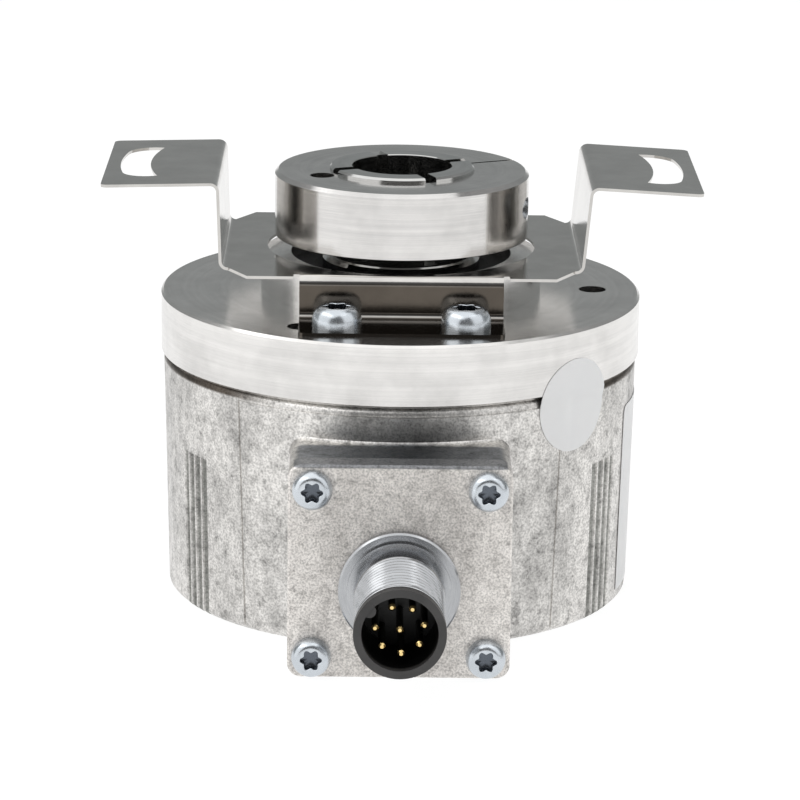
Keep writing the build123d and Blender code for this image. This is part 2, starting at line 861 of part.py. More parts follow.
# Seal ring in the spigot groove
with BuildPart() as housing_seal:
    with BuildSketch(Plane.XZ):
        with Locations((spigot_r - oring_diameter / 2 + oring_lift, groove_mid)):
            Circle(oring_diameter / 2)
    revolve(axis=Axis.Z)
housing_seal.part.label = "housing_seal"
export_step(housing_seal.part, "parts/housing_seal.step")

# Rear seal around the shaft end
rear_seal = turned(
    [
        (journal_r + running_gap + rear_lip_width, housing_floor),
        (seal_pocket_diameter / 2 - press_gap, housing_floor),
        (seal_pocket_diameter / 2 - press_gap, housing_floor + rear_seal_height),
        (journal_r + running_gap + rear_lip_width, housing_floor + rear_seal_height),
        (journal_r + running_gap, housing_floor + (rear_seal_height + rear_lip_height) / 2),
        (journal_r + running_gap, housing_floor + (rear_seal_height - rear_lip_height) / 2),
    ]
)
rear_seal.part.label = "rear_seal"
export_step(rear_seal.part, "parts/rear_seal.step")

# Connector plate with its gasket frame and four screws
with BuildPart() as connector_plate:
    with BuildSketch(Plane.XZ.offset(plate_back)):
        with Locations((0, plate_middle)):
            RectangleRounded(plate_width, plate_height, plate_corner)
        with Locations((0, plate_screw_middle)):
            with GridLocations(2 * plate_screw_x, 2 * plate_screw_z, 2, 2):
                Circle(plate_screw_diameter / 2 + screw_hole_gap, mode=Mode.SUBTRACT)
        with Locations((0, connector_height)):
            Circle(stem_diameter / 2 + press_gap, mode=Mode.SUBTRACT)
    extrude(amount=plate_thickness)
    front_rim = connector_plate.faces().sort_by(Axis.Y)[0].outer_wire().edges()
    chamfer(front_rim, plate_edge)
    with BuildSketch(Plane.XZ.offset(plate_back)):
        with Locations((0, connector_height)):
            Circle(cavity_diameter / 2 + gasket_width)
            Circle(cavity_diameter / 2, mode=Mode.SUBTRACT)
    extrude(amount=gasket_thickness, mode=Mode.SUBTRACT)
connector_plate.part.label = "connector_plate"
export_step(connector_plate.part, "parts/connector_plate.step")

with BuildPart() as plate_gasket:
    with BuildSketch(Plane.XZ.offset(plate_back)):
        with Locations((0, connector_height)):
            Circle(cavity_diameter / 2 + gasket_width - gasket_gap)
            Circle(cavity_diameter / 2 + gasket_gap, mode=Mode.SUBTRACT)
    extrude(amount=gasket_thickness - press_gap)
plate_gasket.part.label = "plate_gasket"
export_step(plate_gasket.part, "parts/plate_gasket.step")

plate_screw = pan_screw(
    plate_screw_diameter, plate_screw_length, plate_head_diameter, plate_head_height
)
with BuildPart() as plate_screws:
    with Locations(Plane.XZ.offset(plate_front)):
        with Locations((0, plate_screw_middle)):
            with GridLocations(2 * plate_screw_x, 2 * plate_screw_z, 2, 2):
                add(plate_screw.part)
plate_screws.part.label = "plate_screws"
export_step(plate_screws.part, "parts/plate_screws.step")

# Connector: metal barrel with two collars, black insert with a key, gold pins and lock nut
collar_front = plate_front + outer_collar_thickness
step_front = collar_front + inner_collar_step
neck_front = step_front + neck_length
thread_front = neck_front + thread_length
insert_front = thread_front + insert_ring_length
stem_back = plate_back - stem_length
socket_floor = insert_front - socket_depth
insert_back = stem_back - insert_tail
connector_plane = Plane(origin=(0, 0, connector_height), x_dir=(1, 0, 0), z_dir=(0, -1, 0))


# A turned piece about the connector axis from points of radius and distance along -Y
def turned_connector(points):
    with BuildPart() as piece:
        with BuildSketch(Plane(origin=connector_plane.origin, x_dir=(1, 0, 0), z_dir=(0, 0, 1))):
            with BuildLine():
                Polyline(*[(radius, -reach) for radius, reach in points], close=True)
            make_face()
        revolve(axis=Axis(connector_plane.origin, (0, 1, 0)))
    return piece


connector_barrel = turned_connector(
    [
        (barrel_bore / 2, stem_back),
        (stem_diameter / 2, stem_back),
        (stem_diameter / 2, plate_front),
        (outer_collar_diameter / 2, plate_front),
        (outer_collar_diameter / 2, collar_front - collar_chamfer),
        (outer_collar_diameter / 2 - collar_chamfer, collar_front),
        (inner_collar_diameter / 2, collar_front),
        (inner_collar_diameter / 2, step_front),
        (neck_diameter / 2, step_front),
        (neck_diameter / 2, neck_front),
        (thread_diameter / 2, neck_front + thread_chamfer),
        (thread_diameter / 2, thread_front - thread_chamfer),
        (thread_diameter / 2 - thread_chamfer, thread_front),
        (barrel_bore / 2, thread_front),
    ]
)
connector_barrel.part.label = "connector_barrel"
export_step(connector_barrel.part, "parts/connector_barrel.step")

pin_angles = [
    90 + key_angle - pin_gap_angle / 2 - step * (360 - pin_gap_angle) / (pin_count - 1)
    for step in range(pin_count)
]
pin_places = [(0.0, 0.0)] + [
    (
        pin_circle_diameter / 2 * math.cos(math.radians(angle)),
        pin_circle_diameter / 2 * math.sin(math.radians(angle)),
    )
    for angle in pin_angles
]
key_place = (
    socket_diameter / 2 * math.cos(math.radians(90 + key_angle)),
    socket_diameter / 2 * math.sin(math.radians(90 + key_angle)),
)
with BuildPart() as connector_insert:
    with BuildSketch(connector_plane.offset(insert_back)):
        Circle(barrel_bore / 2 - press_gap)
    extrude(amount=insert_front - insert_back)
    with BuildSketch(connector_plane.offset(thread_front + press_gap)):
        Circle(thread_diameter / 2)
    extrude(amount=insert_ring_length - press_gap)
    with BuildSketch(connector_plane.offset(socket_floor)):
        Circle(socket_diameter / 2)
    extrude(amount=socket_depth, mode=Mode.SUBTRACT)
    with BuildSketch(connector_plane.offset(socket_floor)):
        with Locations(key_place):
            Circle(key_radius)
        Circle(socket_diameter / 2 + running_gap, mode=Mode.INTERSECT)
    extrude(amount=socket_depth - key_setback)
    with BuildSketch(connector_plane.offset(insert_back)):
        with Locations(*pin_places):
            Circle(pin_diameter / 2 + press_gap)
    extrude(amount=socket_floor - insert_back, mode=Mode.SUBTRACT)
connector_insert.part.label = "connector_insert"
export_step(connector_insert.part, "parts/connector_insert.step")

with BuildPart() as connector_pins:
    with BuildSketch(connector_plane.offset(insert_back - pin_tail)):
        with Locations(*pin_places):
            Circle(pin_diameter / 2)
    extrude(amount=insert_front - pin_setback - insert_back + pin_tail)
    pin_tips = connector_pins.faces().sort_by(Axis.Y)[: pin_count + 1].edges()
    chamfer(pin_tips, pin_chamfer)
connector_pins.part.label = "connector_pins"
export_step(connector_pins.part, "parts/connector_pins.step")

with BuildPart() as connector_nut:
    with BuildSketch(connector_plane.offset(plate_back - nut_thickness)):
        RegularPolygon(nut_width / 2, 6, major_radius=False)
        Circle(stem_diameter / 2 + thread_gap, mode=Mode.SUBTRACT)
    extrude(amount=nut_thickness)
connector_nut.part.label = "connector_nut"
export_step(connector_nut.part, "parts/connector_nut.step")

# Small round board on the pin tails, with the flat cable to the main board
tail_board_front = insert_back - tail_board_gap
tail_board_back = tail_board_front - tail_board_thickness
with BuildPart() as connector_board:
    with BuildSketch(connector_plane.offset(tail_board_back)):
        Circle(cavity_diameter / 2 - tail_board_clearance)
        with Locations(*pin_places):
            Circle(pin_diameter / 2 + press_gap, mode=Mode.SUBTRACT)
    extrude(amount=tail_board_front - tail_board_back)
connector_board.part.label = "connector_board"
export_step(connector_board.part, "parts/connector_board.step")

header_y = board_r - header_inset
cable_height = -main_board_top + header_height / 2
with BuildPart() as cable_header:
    with BuildSketch(Plane.XY.offset(-main_board_top)):
        with Locations((0, -header_y)):
            Rectangle(cable_width + 2 * header_margin, header_depth)
    extrude(amount=header_height)
    chamfer(cable_header.edges().filter_by(Axis.Z), header_chamfer)
cable_header.part.label = "cable_header"
export_step(cable_header.part, "parts/cable_header.step")

with BuildPart() as flat_cable:
    with BuildSketch(Plane.XZ.offset(header_y + header_depth / 2)):
        with Locations((0, cable_height)):
            Rectangle(cable_width, cable_thickness)
    extrude(amount=tail_board_back - header_y - header_depth / 2)
flat_cable.part.label = "flat_cable"
export_step(flat_cable.part, "parts/flat_cable.step")


# Posts: three stacks of sleeves that space the boards between flange and housing
def post_sleeves(bottom, top):
    with BuildPart() as piece:
        with BuildSketch(Plane.XY.offset(bottom)):
            with PolarLocations(post_circle_r, post_count, start_angle=post_first_angle):
                Circle(post_diameter / 2)
                Circle(post_screw_diameter / 2 + screw_hole_gap, mode=Mode.SUBTRACT)
        extrude(amount=top - bottom)
    return piece


upper_posts = post_sleeves(-sensor_board_top, flange_back)
upper_posts.part.label = "upper_posts"
export_step(upper_posts.part, "parts/upper_posts.step")

middle_posts = post_sleeves(-main_board_top, sensor_board_back)
middle_posts.part.label = "middle_posts"
export_step(middle_posts.part, "parts/middle_posts.step")

lower_posts = post_sleeves(housing_floor, main_board_back)
lower_posts.part.label = "lower_posts"
export_step(lower_posts.part, "parts/lower_posts.step")

# Housing screws: countersunk, from the back through the posts into the flange
sink = post_head_diameter / 2 - post_screw_diameter / 2
with BuildPart() as housing_screw:
    with BuildSketch(Plane.XZ):
        with BuildLine():
            Polyline(
                (0, housing_back + post_head_sink),
                (post_head_diameter / 2, housing_back + post_head_sink),
                (post_screw_diameter / 2, housing_back + post_head_sink + sink),
                (post_screw_diameter / 2, flange_back + post_screw_reach),
                (0, flange_back + post_screw_reach),
                close=True,
            )
        make_face()
    revolve(axis=Axis.Z)
    with BuildSketch(Plane.XY.offset(housing_back)):
        Circle(post_head_diameter / 2 * recess_core_share)
        with PolarLocations(post_head_diameter / 2 * recess_lobe_offset, 6):
            Circle(post_head_diameter / 2 * recess_lobe_share)
    extrude(amount=post_recess_depth, mode=Mode.SUBTRACT)
with BuildPart() as housing_screws:
    with PolarLocations(post_circle_r, post_count, start_angle=post_first_angle):
        add(housing_screw.part)
housing_screws.part.label = "housing_screws"
export_step(housing_screws.part, "parts/housing_screws.step")


# Boards: round, open around the shaft, with holes for the posts' screws
def round_board(bottom):
    with BuildPart() as piece:
        with BuildSketch(Plane.XY.offset(bottom)):
            Circle(board_r)
            Circle(board_hole_diameter / 2, mode=Mode.SUBTRACT)
            with PolarLocations(post_circle_r, post_count, start_angle=post_first_angle):
                Circle(post_screw_diameter / 2 + screw_hole_gap, mode=Mode.SUBTRACT)
        extrude(amount=board_thickness)
    return piece


sensor_board = round_board(sensor_board_back)
sensor_board.part.label = "sensor_board"
export_step(sensor_board.part, "parts/sensor_board.step")

main_board = round_board(main_board_back)
main_board.part.label = "main_board"
export_step(main_board.part, "parts/main_board.step")

# Chips on the back of the main board
with BuildPart() as board_chips:
    with BuildSketch(Plane.XY.offset(main_board_back)):
        with Locations((processor_x, processor_y)):
            Rectangle(processor_width, processor_width)
        with Locations((-driver_x, driver_y)):
            Rectangle(driver_width, driver_length)
        with Locations((-memory_x, memory_y)):
            Rectangle(memory_width, memory_length)
    extrude(amount=-chip_height)
board_chips.part.label = "board_chips"
export_step(board_chips.part, "parts/board_chips.step")

with BuildPart() as board_capacitors:
    with BuildSketch(Plane.XY.offset(main_board_back)):
        with Locations(
            (capacitor_x, capacitor_y),
            (capacitor_x - capacitor_step_x, capacitor_y + capacitor_step_y),
        ):
            Circle(capacitor_diameter / 2)
    extrude(amount=-capacitor_height)
board_capacitors.part.label = "board_capacitors"
export_step(board_capacitors.part, "parts/board_capacitors.step")

# Code disc on its hub, held by a clamp collar, with set screws into the shaft
hub_bore_r = journal_r + press_gap
shoulder_r = bearing_outer / 2 - shoulder_gap
disc_hub_r = shoulder_r - disc_seat
hub_tail_back = disc_back - disc_hub_tail
hub_screw_height = (disc_hub_top - disc_top) / 2
with BuildPart() as disc_hub:
    with BuildSketch(Plane.XZ):
        with BuildLine():
            Polyline(
                (hub_bore_r, disc_hub_top),
                (shoulder_r, disc_hub_top),
                (shoulder_r, -disc_top),
                (disc_hub_r, -disc_top),
                (disc_hub_r, hub_tail_back),
                (hub_bore_r, hub_tail_back),
                close=True,
            )
        make_face()
    revolve(axis=Axis.Z)
    with BuildSketch(Plane.YZ):
        with Locations((0, hub_screw_height)):
            Circle(hub_screw_diameter / 2 + thread_gap)
    extrude(amount=shoulder_r + cut_over, both=True, mode=Mode.SUBTRACT)
disc_hub.part.label = "disc_hub"
export_step(disc_hub.part, "parts/disc_hub.step")

with BuildPart() as hub_screws:
    with BuildSketch(Plane.YZ.offset(hub_bore_r)):
        with Locations((0, hub_screw_height)):
            Circle(hub_screw_diameter / 2)
    extrude(amount=shoulder_r - hub_bore_r - hub_screw_sink)
    mirror(about=Plane.YZ)
hub_screws.part.label = "hub_screws"
export_step(hub_screws.part, "parts/hub_screws.step")

code_disc = tube(disc_hub_r + press_gap, disc_r, disc_back, -disc_top - press_gap)
code_disc.part.label = "code_disc"
export_step(code_disc.part, "parts/code_disc.step")

disc_clamp = tube(
    disc_hub_r + press_gap,
    disc_hub_r + disc_clamp_wall,
    disc_back - disc_clamp_height,
    disc_back,
)
disc_clamp.part.label = "disc_clamp"
export_step(disc_clamp.part, "parts/disc_clamp.step")

# Optics: lamp in a holder above the disc, reticle and light sensor below it
holder_start = hub_r + holder_gap
holder_end = spigot_r - spigot_wall - holder_margin
holder_bottom = disc_top - holder_lift
lamp_x = -optics_radius - lamp_shift
with BuildPart() as lamp_holder:
    with BuildSketch(Plane.XY.offset(-holder_bottom)):
        with Locations((-(holder_start + holder_end) / 2, 0)):
            RectangleRounded(holder_end - holder_start, holder_width, holder_corner)
        with Locations((lamp_x, 0)):
            Circle(lamp_diameter / 2 + lamp_play, mode=Mode.SUBTRACT)
    extrude(amount=holder_bottom + flange_back)
lamp_holder.part.label = "lamp_holder"
export_step(lamp_holder.part, "parts/lamp_holder.step")

lamp_low = -disc_top + lamp_gap
with BuildPart() as lamp:
    with BuildSketch(Plane.XY.offset(lamp_low + lamp_diameter / 2)):
        with Locations((lamp_x, 0)):
            Circle(lamp_diameter / 2)
    extrude(amount=lamp_length)
    with Locations((lamp_x, 0, lamp_low + lamp_diameter / 2)):
        Sphere(lamp_diameter / 2)
lamp.part.label = "lamp"
export_step(lamp.part, "parts/lamp.step")

with BuildPart() as light_sensor:
    with BuildSketch(Plane.XY.offset(-sensor_board_top)):
        with Locations((-optics_radius, 0)):
            Rectangle(sensor_width, sensor_length)
    extrude(amount=sensor_height)
light_sensor.part.label = "light_sensor"
export_step(light_sensor.part, "parts/light_sensor.step")

with BuildPart() as reticle:
    with BuildSketch(Plane.XY.offset(-sensor_board_top + sensor_height)):
        with Locations((-optics_radius, 0)):
            Rectangle(reticle_width, reticle_length)
    extrude(amount=reticle_thickness)
reticle.part.label = "reticle"
export_step(reticle.part, "parts/reticle.step")
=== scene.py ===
import math

import bpy
import numpy as np
from mathutils import Matrix, Vector


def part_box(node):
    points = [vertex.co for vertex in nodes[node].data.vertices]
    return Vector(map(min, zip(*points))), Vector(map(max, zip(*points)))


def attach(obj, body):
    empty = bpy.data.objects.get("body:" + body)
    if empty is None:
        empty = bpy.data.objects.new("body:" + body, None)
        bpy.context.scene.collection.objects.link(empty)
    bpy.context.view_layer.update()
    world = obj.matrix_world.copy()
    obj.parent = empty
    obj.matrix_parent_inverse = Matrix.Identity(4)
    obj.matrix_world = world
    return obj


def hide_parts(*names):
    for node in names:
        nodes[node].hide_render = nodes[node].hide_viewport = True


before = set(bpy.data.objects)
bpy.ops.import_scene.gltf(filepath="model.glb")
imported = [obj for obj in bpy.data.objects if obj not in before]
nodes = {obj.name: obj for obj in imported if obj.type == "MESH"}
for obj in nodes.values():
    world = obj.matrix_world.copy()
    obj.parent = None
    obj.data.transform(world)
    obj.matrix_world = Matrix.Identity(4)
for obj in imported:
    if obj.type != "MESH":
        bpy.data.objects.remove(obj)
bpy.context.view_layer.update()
MM = 0.001

# Studio: a white table, soft lamps, a grey room behind the part and an unlit room in front of it.
# Polished metal shows the table on its upright faces, the grey room on its flat tops, and the
# unlit room where two faces of a fold mirror each other.
floor_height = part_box("housing")[0].z
table_reach = 3.0
sky_strength = 0.85
glow_strength, glow_share = 1.13, 0.8
scene = bpy.context.scene
scene.view_settings.view_transform = "Standard"


def new_finish(name):
    """An empty material that holds one Principled shader, as (material, node tree, shader)."""
    material = bpy.data.materials.new(name)
    material.use_nodes = True
    tree = material.node_tree
    tree.nodes.clear()
    shader = tree.nodes.new("ShaderNodeBsdfPrincipled")
    output = tree.nodes.new("ShaderNodeOutputMaterial")
    tree.links.new(shader.outputs["BSDF"], output.inputs["Surface"])
    return material, tree, shader


def math_node(tree, operation, first, second=None):
    """One Math node on two sockets or numbers; gives its output."""
    node = tree.nodes.new("ShaderNodeMath")
    node.operation = operation
    for place, value in enumerate((first, second)):
        if value is None:
            continue
        if isinstance(value, (int, float)):
            node.inputs[place].default_value = value
        else:
            tree.links.new(value, node.inputs[place])
    return node.outputs[0]


def ramp(tree, factor, stops):
    """A colour ramp on a factor, with stops of (position, grey or colour)."""
    node = tree.nodes.new("ShaderNodeValToRGB")
    tree.links.new(factor, node.inputs["Fac"])
    while len(node.color_ramp.elements) < len(stops):
        node.color_ramp.elements.new(0.5)
    for element, (position, colour) in zip(node.color_ramp.elements, stops):
        element.position = position
        rgb = (colour,) * 3 if isinstance(colour, (int, float)) else colour
        element.color = (*rgb, 1.0)
    return node.outputs["Color"]


world = bpy.data.worlds.new("studio")
scene.world = world
world.use_nodes = True
sky = world.node_tree
sky.nodes.clear()
sky_output = sky.nodes.new("ShaderNodeOutputWorld")
sky_light = sky.nodes.new("ShaderNodeBackground")
sky_white = sky.nodes.new("ShaderNodeBackground")
sky_mix = sky.nodes.new("ShaderNodeMixShader")
sky_rays = sky.nodes.new("ShaderNodeLightPath")
sky_place = sky.nodes.new("ShaderNodeTexCoord")
sky_split = sky.nodes.new("ShaderNodeSeparateXYZ")
sky.links.new(sky_place.outputs["Generated"], sky_split.inputs[0])
sky_height = math_node(sky, "MULTIPLY_ADD", sky_split.outputs["Z"], 0.5)
sky_height.node.inputs[2].default_value = 0.5
grey_room = ramp(sky, sky_height, [
    (0.0, 0.95), (0.49, 0.95), (0.515, (0.40, 0.415, 0.415)), (0.60, (0.33, 0.345, 0.345)),
    (0.72, (0.35, 0.36, 0.36)), (0.84, 0.42), (0.94, 0.34),
])
unlit_room = ramp(sky, sky_height, [
    (0.0, 0.95), (0.49, 0.95), (0.512, (0.24, 0.23, 0.22)), (0.56, (0.14, 0.135, 0.13)),
    (0.76, (0.18, 0.18, 0.185)), (0.86, 0.24), (0.94, 0.30),
])
sky_side = math_node(sky, "MULTIPLY_ADD", sky_split.outputs["Y"], 1.2)
sky_side.node.inputs[2].default_value = 0.5
sky_side.node.use_clamp = True
sky_rooms = sky.nodes.new("ShaderNodeMix")
sky_rooms.data_type = "RGBA"
sky.links.new(sky_side, sky_rooms.inputs["Factor"])
sky.links.new(unlit_room, sky_rooms.inputs[6])
sky.links.new(grey_room, sky_rooms.inputs[7])
sky.links.new(sky_rooms.outputs[2], sky_light.inputs["Color"])
sky_light.inputs["Strength"].default_value = sky_strength
sky_white.inputs["Color"].default_value = (1, 1, 1, 1)
sky.links.new(sky_rays.outputs["Is Camera Ray"], sky_mix.inputs["Fac"])
sky.links.new(sky_light.outputs[0], sky_mix.inputs[1])
sky.links.new(sky_white.outputs[0], sky_mix.inputs[2])
sky.links.new(sky_mix.outputs[0], sky_output.inputs["Surface"])

table_mesh = bpy.data.meshes.new("studio_table")
table_mesh.from_pydata(
    [(x * table_reach, y * table_reach, floor_height)
     for x, y in ((-1, -1), (1, -1), (1, 1), (-1, 1))],
    [],
    [(0, 1, 2, 3)],
)
table = bpy.data.objects.new("studio_table", table_mesh)
scene.collection.objects.link(table)
table_finish, table_tree, table_shader = new_finish("table_paper")
table_shader.inputs["Base Color"].default_value = (0.9, 0.9, 0.9, 1)
table_shader.inputs["Roughness"].default_value = 0.9
table_shader.inputs["Specular IOR Level"].default_value = 0.1
table_rays = table_tree.nodes.new("ShaderNodeLightPath")
table_glow = table_tree.nodes.new("ShaderNodeEmission")
table_glow.inputs["Color"].default_value = (1, 1, 1, 1)
table_glow.inputs["Strength"].default_value = glow_strength
table_mix = table_tree.nodes.new("ShaderNodeMixShader")
table_see = math_node(table_tree, "MAXIMUM", table_rays.outputs["Is Camera Ray"],
                      table_rays.outputs["Is Glossy Ray"])
table_share = math_node(table_tree, "MULTIPLY", table_see, glow_share)
table_tree.links.new(table_share, table_mix.inputs["Fac"])
table_tree.links.new(table_shader.outputs[0], table_mix.inputs[1])
table_tree.links.new(table_glow.outputs[0], table_mix.inputs[2])
table_end = next(n for n in table_tree.nodes if n.type == "OUTPUT_MATERIAL")
table_tree.links.new(table_mix.outputs[0], table_end.inputs["Surface"])
table_mesh.materials.append(table_finish)


def lamp(name, place, aim, size, watts):
    """A square soft lamp at a place, turned towards a point."""
    data = bpy.data.lights.new(name, "AREA")
    data.shape = "SQUARE"
    data.size = size
    data.energy = watts
    source = bpy.data.objects.new(name, data)
    scene.collection.objects.link(source)
    source.location = place
    source.rotation_mode = "QUATERNION"
    source.rotation_quaternion = (Vector(aim) - Vector(place)).to_track_quat("-Z", "Y")


lamp("lamp_above", (-0.12, -0.08, 0.55), (0, 0, 0), 0.90, 2.5)
lamp("lamp_left", (-0.55, -0.25, 0.30), (0, 0, 0), 0.80, 2.0)
lamp("lamp_right", (0.50, -0.30, 0.35), (0, 0, 0), 0.70, 1.4)

# Camera: the photograph's view, fitted to the flange, the bore and the plate's corners.
camera_distance = 460.0 * MM
camera_elevation = 15.209
camera_turn = -0.48
camera_roll = 0.762
camera_target = Vector((0.119, 0.0, -14.218)) * MM
picture_side = 800
focal_pixels = 3755.76
sensor_side = 36.0
turn = Matrix.Rotation(math.radians(camera_turn), 3, "Z")
tilt = Matrix.Rotation(math.radians(90 - camera_elevation), 3, "X")
roll = Matrix.Rotation(math.radians(camera_roll), 3, "Z")
camera_data = bpy.data.cameras.new("camera")
camera_data.sensor_width = sensor_side
camera_data.lens = focal_pixels / picture_side * sensor_side
camera_data.clip_start = 0.01
camera = bpy.data.objects.new("camera", camera_data)
scene.collection.objects.link(camera)
camera_matrix = (turn @ tilt @ roll).to_4x4()
back = (turn @ tilt) @ Vector((0, 0, 1))
camera_matrix.translation = camera_target + camera_distance * back
camera.matrix_world = camera_matrix
scene.camera = camera

# Flange: a disc turned from aluminium bar, with a boss in front and the bearing hub behind.
# The turning tool leaves fine rings on its faces and fine level lines on its rim.
turn_grain = 0.6
mottle_share = 0.5
merge_distance = 0.001
sharp_angle = 28


def place_mm(tree, stretch=(1, 1, 1)):
    """Object coordinates in millimetres, times a stretch along each axis."""
    coordinates = tree.nodes.new("ShaderNodeTexCoord")
    mapping = tree.nodes.new("ShaderNodeMapping")
    mapping.inputs["Scale"].default_value = [s / MM for s in stretch]
    tree.links.new(coordinates.outputs["Object"], mapping.inputs["Vector"])
    return mapping.outputs["Vector"]


def turned_place(tree, axis="Z", centre=(0, 0, 0)):
    """Lathe coordinates: distance from the axis, distance along it, and little round it."""
    coordinates = tree.nodes.new("ShaderNodeTexCoord")
    shift = tree.nodes.new("ShaderNodeVectorMath")
    shift.operation = "SUBTRACT"
    shift.inputs[1].default_value = centre
    tree.links.new(coordinates.outputs["Object"], shift.inputs[0])
    split = tree.nodes.new("ShaderNodeSeparateXYZ")
    tree.links.new(shift.outputs[0], split.inputs[0])
    x, y, z = split.outputs
    along, first, second = (z, x, y) if axis == "Z" else (y, x, z)
    square = math_node(tree, "ADD", math_node(tree, "MULTIPLY", first, first),
                       math_node(tree, "MULTIPLY", second, second))
    radius = math_node(tree, "SQRT", square)
    angle = math_node(tree, "ARCTAN2", second, first)
    join = tree.nodes.new("ShaderNodeCombineXYZ")
    tree.links.new(math_node(tree, "MULTIPLY", radius, 1 / MM), join.inputs[0])
    tree.links.new(math_node(tree, "MULTIPLY", along, 1 / MM), join.inputs[1])
    tree.links.new(math_node(tree, "MULTIPLY", math_node(tree, "SINE", angle), turn_grain),
                   join.inputs[2])
    return join.outputs[0]


def noise(tree, place, scale, detail=3.0, roughness=0.5):
    """Noise on coordinates, between 0 and 1."""
    node = tree.nodes.new("ShaderNodeTexNoise")
    node.inputs["Scale"].default_value = scale
    node.inputs["Detail"].default_value = detail
    node.inputs["Roughness"].default_value = roughness
    tree.links.new(place, node.inputs["Vector"])
    return node.outputs["Fac"]


def blend(tree, kind, factor, first, second):
    """Two colours put together by a Mix node of the given kind."""
    node = tree.nodes.new("ShaderNodeMix")
    node.data_type = "RGBA"
    node.blend_type = kind
    node.clamp_result = True
    if isinstance(factor, (int, float)):
        node.inputs["Factor"].default_value = factor
    else:
        tree.links.new(factor, node.inputs["Factor"])
    for socket, value in ((node.inputs[6], first), (node.inputs[7], second)):
        if isinstance(value, tuple):
            socket.default_value = (*value, 1.0)
        else:
            tree.links.new(value, socket)
    return node.outputs[2]


def bump(tree, height, distance_mm, strength=1.0, under=None):
    """A Bump node over a height, laid over another normal where one is given."""
    node = tree.nodes.new("ShaderNodeBump")
    node.inputs["Strength"].default_value = strength
    node.inputs["Distance"].default_value = distance_mm * MM
    tree.links.new(height, node.inputs["Height"])
    if under is not None:
        tree.links.new(under, node.inputs["Normal"])
    return node.outputs["Normal"]


def turned_metal(name, light, dark, gloss, line_depth, axis="Z", centre=(0, 0, 0)):
    """Turned metal: ring-shaped tool lines in colour, roughness and height, and soft stains."""
    material, tree, shader = new_finish(name)
    rings = turned_place(tree, axis, centre)
    wide = noise(tree, rings, 1.1, 4.0, 0.6)
    fine = noise(tree, rings, 9.0, 2.0, 0.6)
    stain = noise(tree, place_mm(tree), 0.14, 4.0, 0.6)
    grain = noise(tree, place_mm(tree), 7.0, 2.0, 0.5)
    lines = math_node(tree, "MULTIPLY_ADD", fine, 0.4)
    tree.links.new(math_node(tree, "MULTIPLY", wide, 0.6), lines.node.inputs[2])
    colour = ramp(tree, lines, [(0.3, dark), (0.7, light)])
    stained = blend(tree, "MULTIPLY", mottle_share, colour,
                    ramp(tree, stain, [(0.35, 0.72), (0.6, 1.0)]))
    tree.links.new(stained, shader.inputs["Base Color"])
    shader.inputs["Metallic"].default_value = 1.0
    rough = ramp(tree, grain, [(0.3, gloss * 0.8), (0.7, gloss * 1.25)])
    tree.links.new(rough, shader.inputs["Roughness"])
    normal = bump(tree, lines, line_depth)
    tree.links.new(bump(tree, grain, line_depth * 0.5, 0.6, normal), shader.inputs["Normal"])
    return material


def smoothing_group():
    """A node group that joins a CAD node's loose triangles and shades its round faces smoothly."""
    group = bpy.data.node_groups.new("round_faces", "GeometryNodeTree")
    group.interface.new_socket("Geometry", in_out="INPUT", socket_type="NodeSocketGeometry")
    group.interface.new_socket("Geometry", in_out="OUTPUT", socket_type="NodeSocketGeometry")
    start = group.nodes.new("NodeGroupInput")
    end = group.nodes.new("NodeGroupOutput")
    merge = group.nodes.new("GeometryNodeMergeByDistance")
    merge.inputs["Distance"].default_value = merge_distance * MM
    faces = group.nodes.new("GeometryNodeSetShadeSmooth")
    faces.domain = "FACE"
    faces.inputs["Shade Smooth"].default_value = True
    edges = group.nodes.new("GeometryNodeSetShadeSmooth")
    edges.domain = "EDGE"
    edges.inputs["Shade Smooth"].default_value = False
    angle = group.nodes.new("GeometryNodeInputMeshEdgeAngle")
    sharp = group.nodes.new("FunctionNodeCompare")
    sharp.data_type = "FLOAT"
    sharp.operation = "GREATER_THAN"
    sharp.inputs[1].default_value = math.radians(sharp_angle)
    group.links.new(angle.outputs["Unsigned Angle"], sharp.inputs[0])
    group.links.new(start.outputs[0], merge.inputs["Geometry"])
    group.links.new(merge.outputs[0], faces.inputs["Geometry"])
    group.links.new(faces.outputs[0], edges.inputs["Geometry"])
    group.links.new(sharp.outputs[0], edges.inputs["Selection"])
    group.links.new(edges.outputs[0], end.inputs[0])
    return group


round_faces = smoothing_group()


def smooth_rounds(piece):
    """Adds the modifier that joins loose triangles and shades round faces smoothly."""
    smooth = piece.modifiers.new("round_faces", "NODES")
    smooth.node_group = round_faces


def dress(names, material):
    """Gives CAD nodes a material and smooth round faces; their meshes stay as they are."""
    for name in names:
        piece = nodes[name]
        for slot in piece.material_slots:
            slot.material = material
        smooth_rounds(piece)


flange_finish = turned_metal("turned_flange", (0.86, 0.845, 0.825), (0.70, 0.69, 0.675),
                             0.20, 0.003)
dress(["bearing_flange", "disc_hub", "disc_clamp"], flange_finish)

# Bearings: polished rings and balls with a stamped brass cage, pressed into the hub.
# Snap rings of dark spring steel hold them, and black rubber seals close both ends.
patch_scale = 0.2


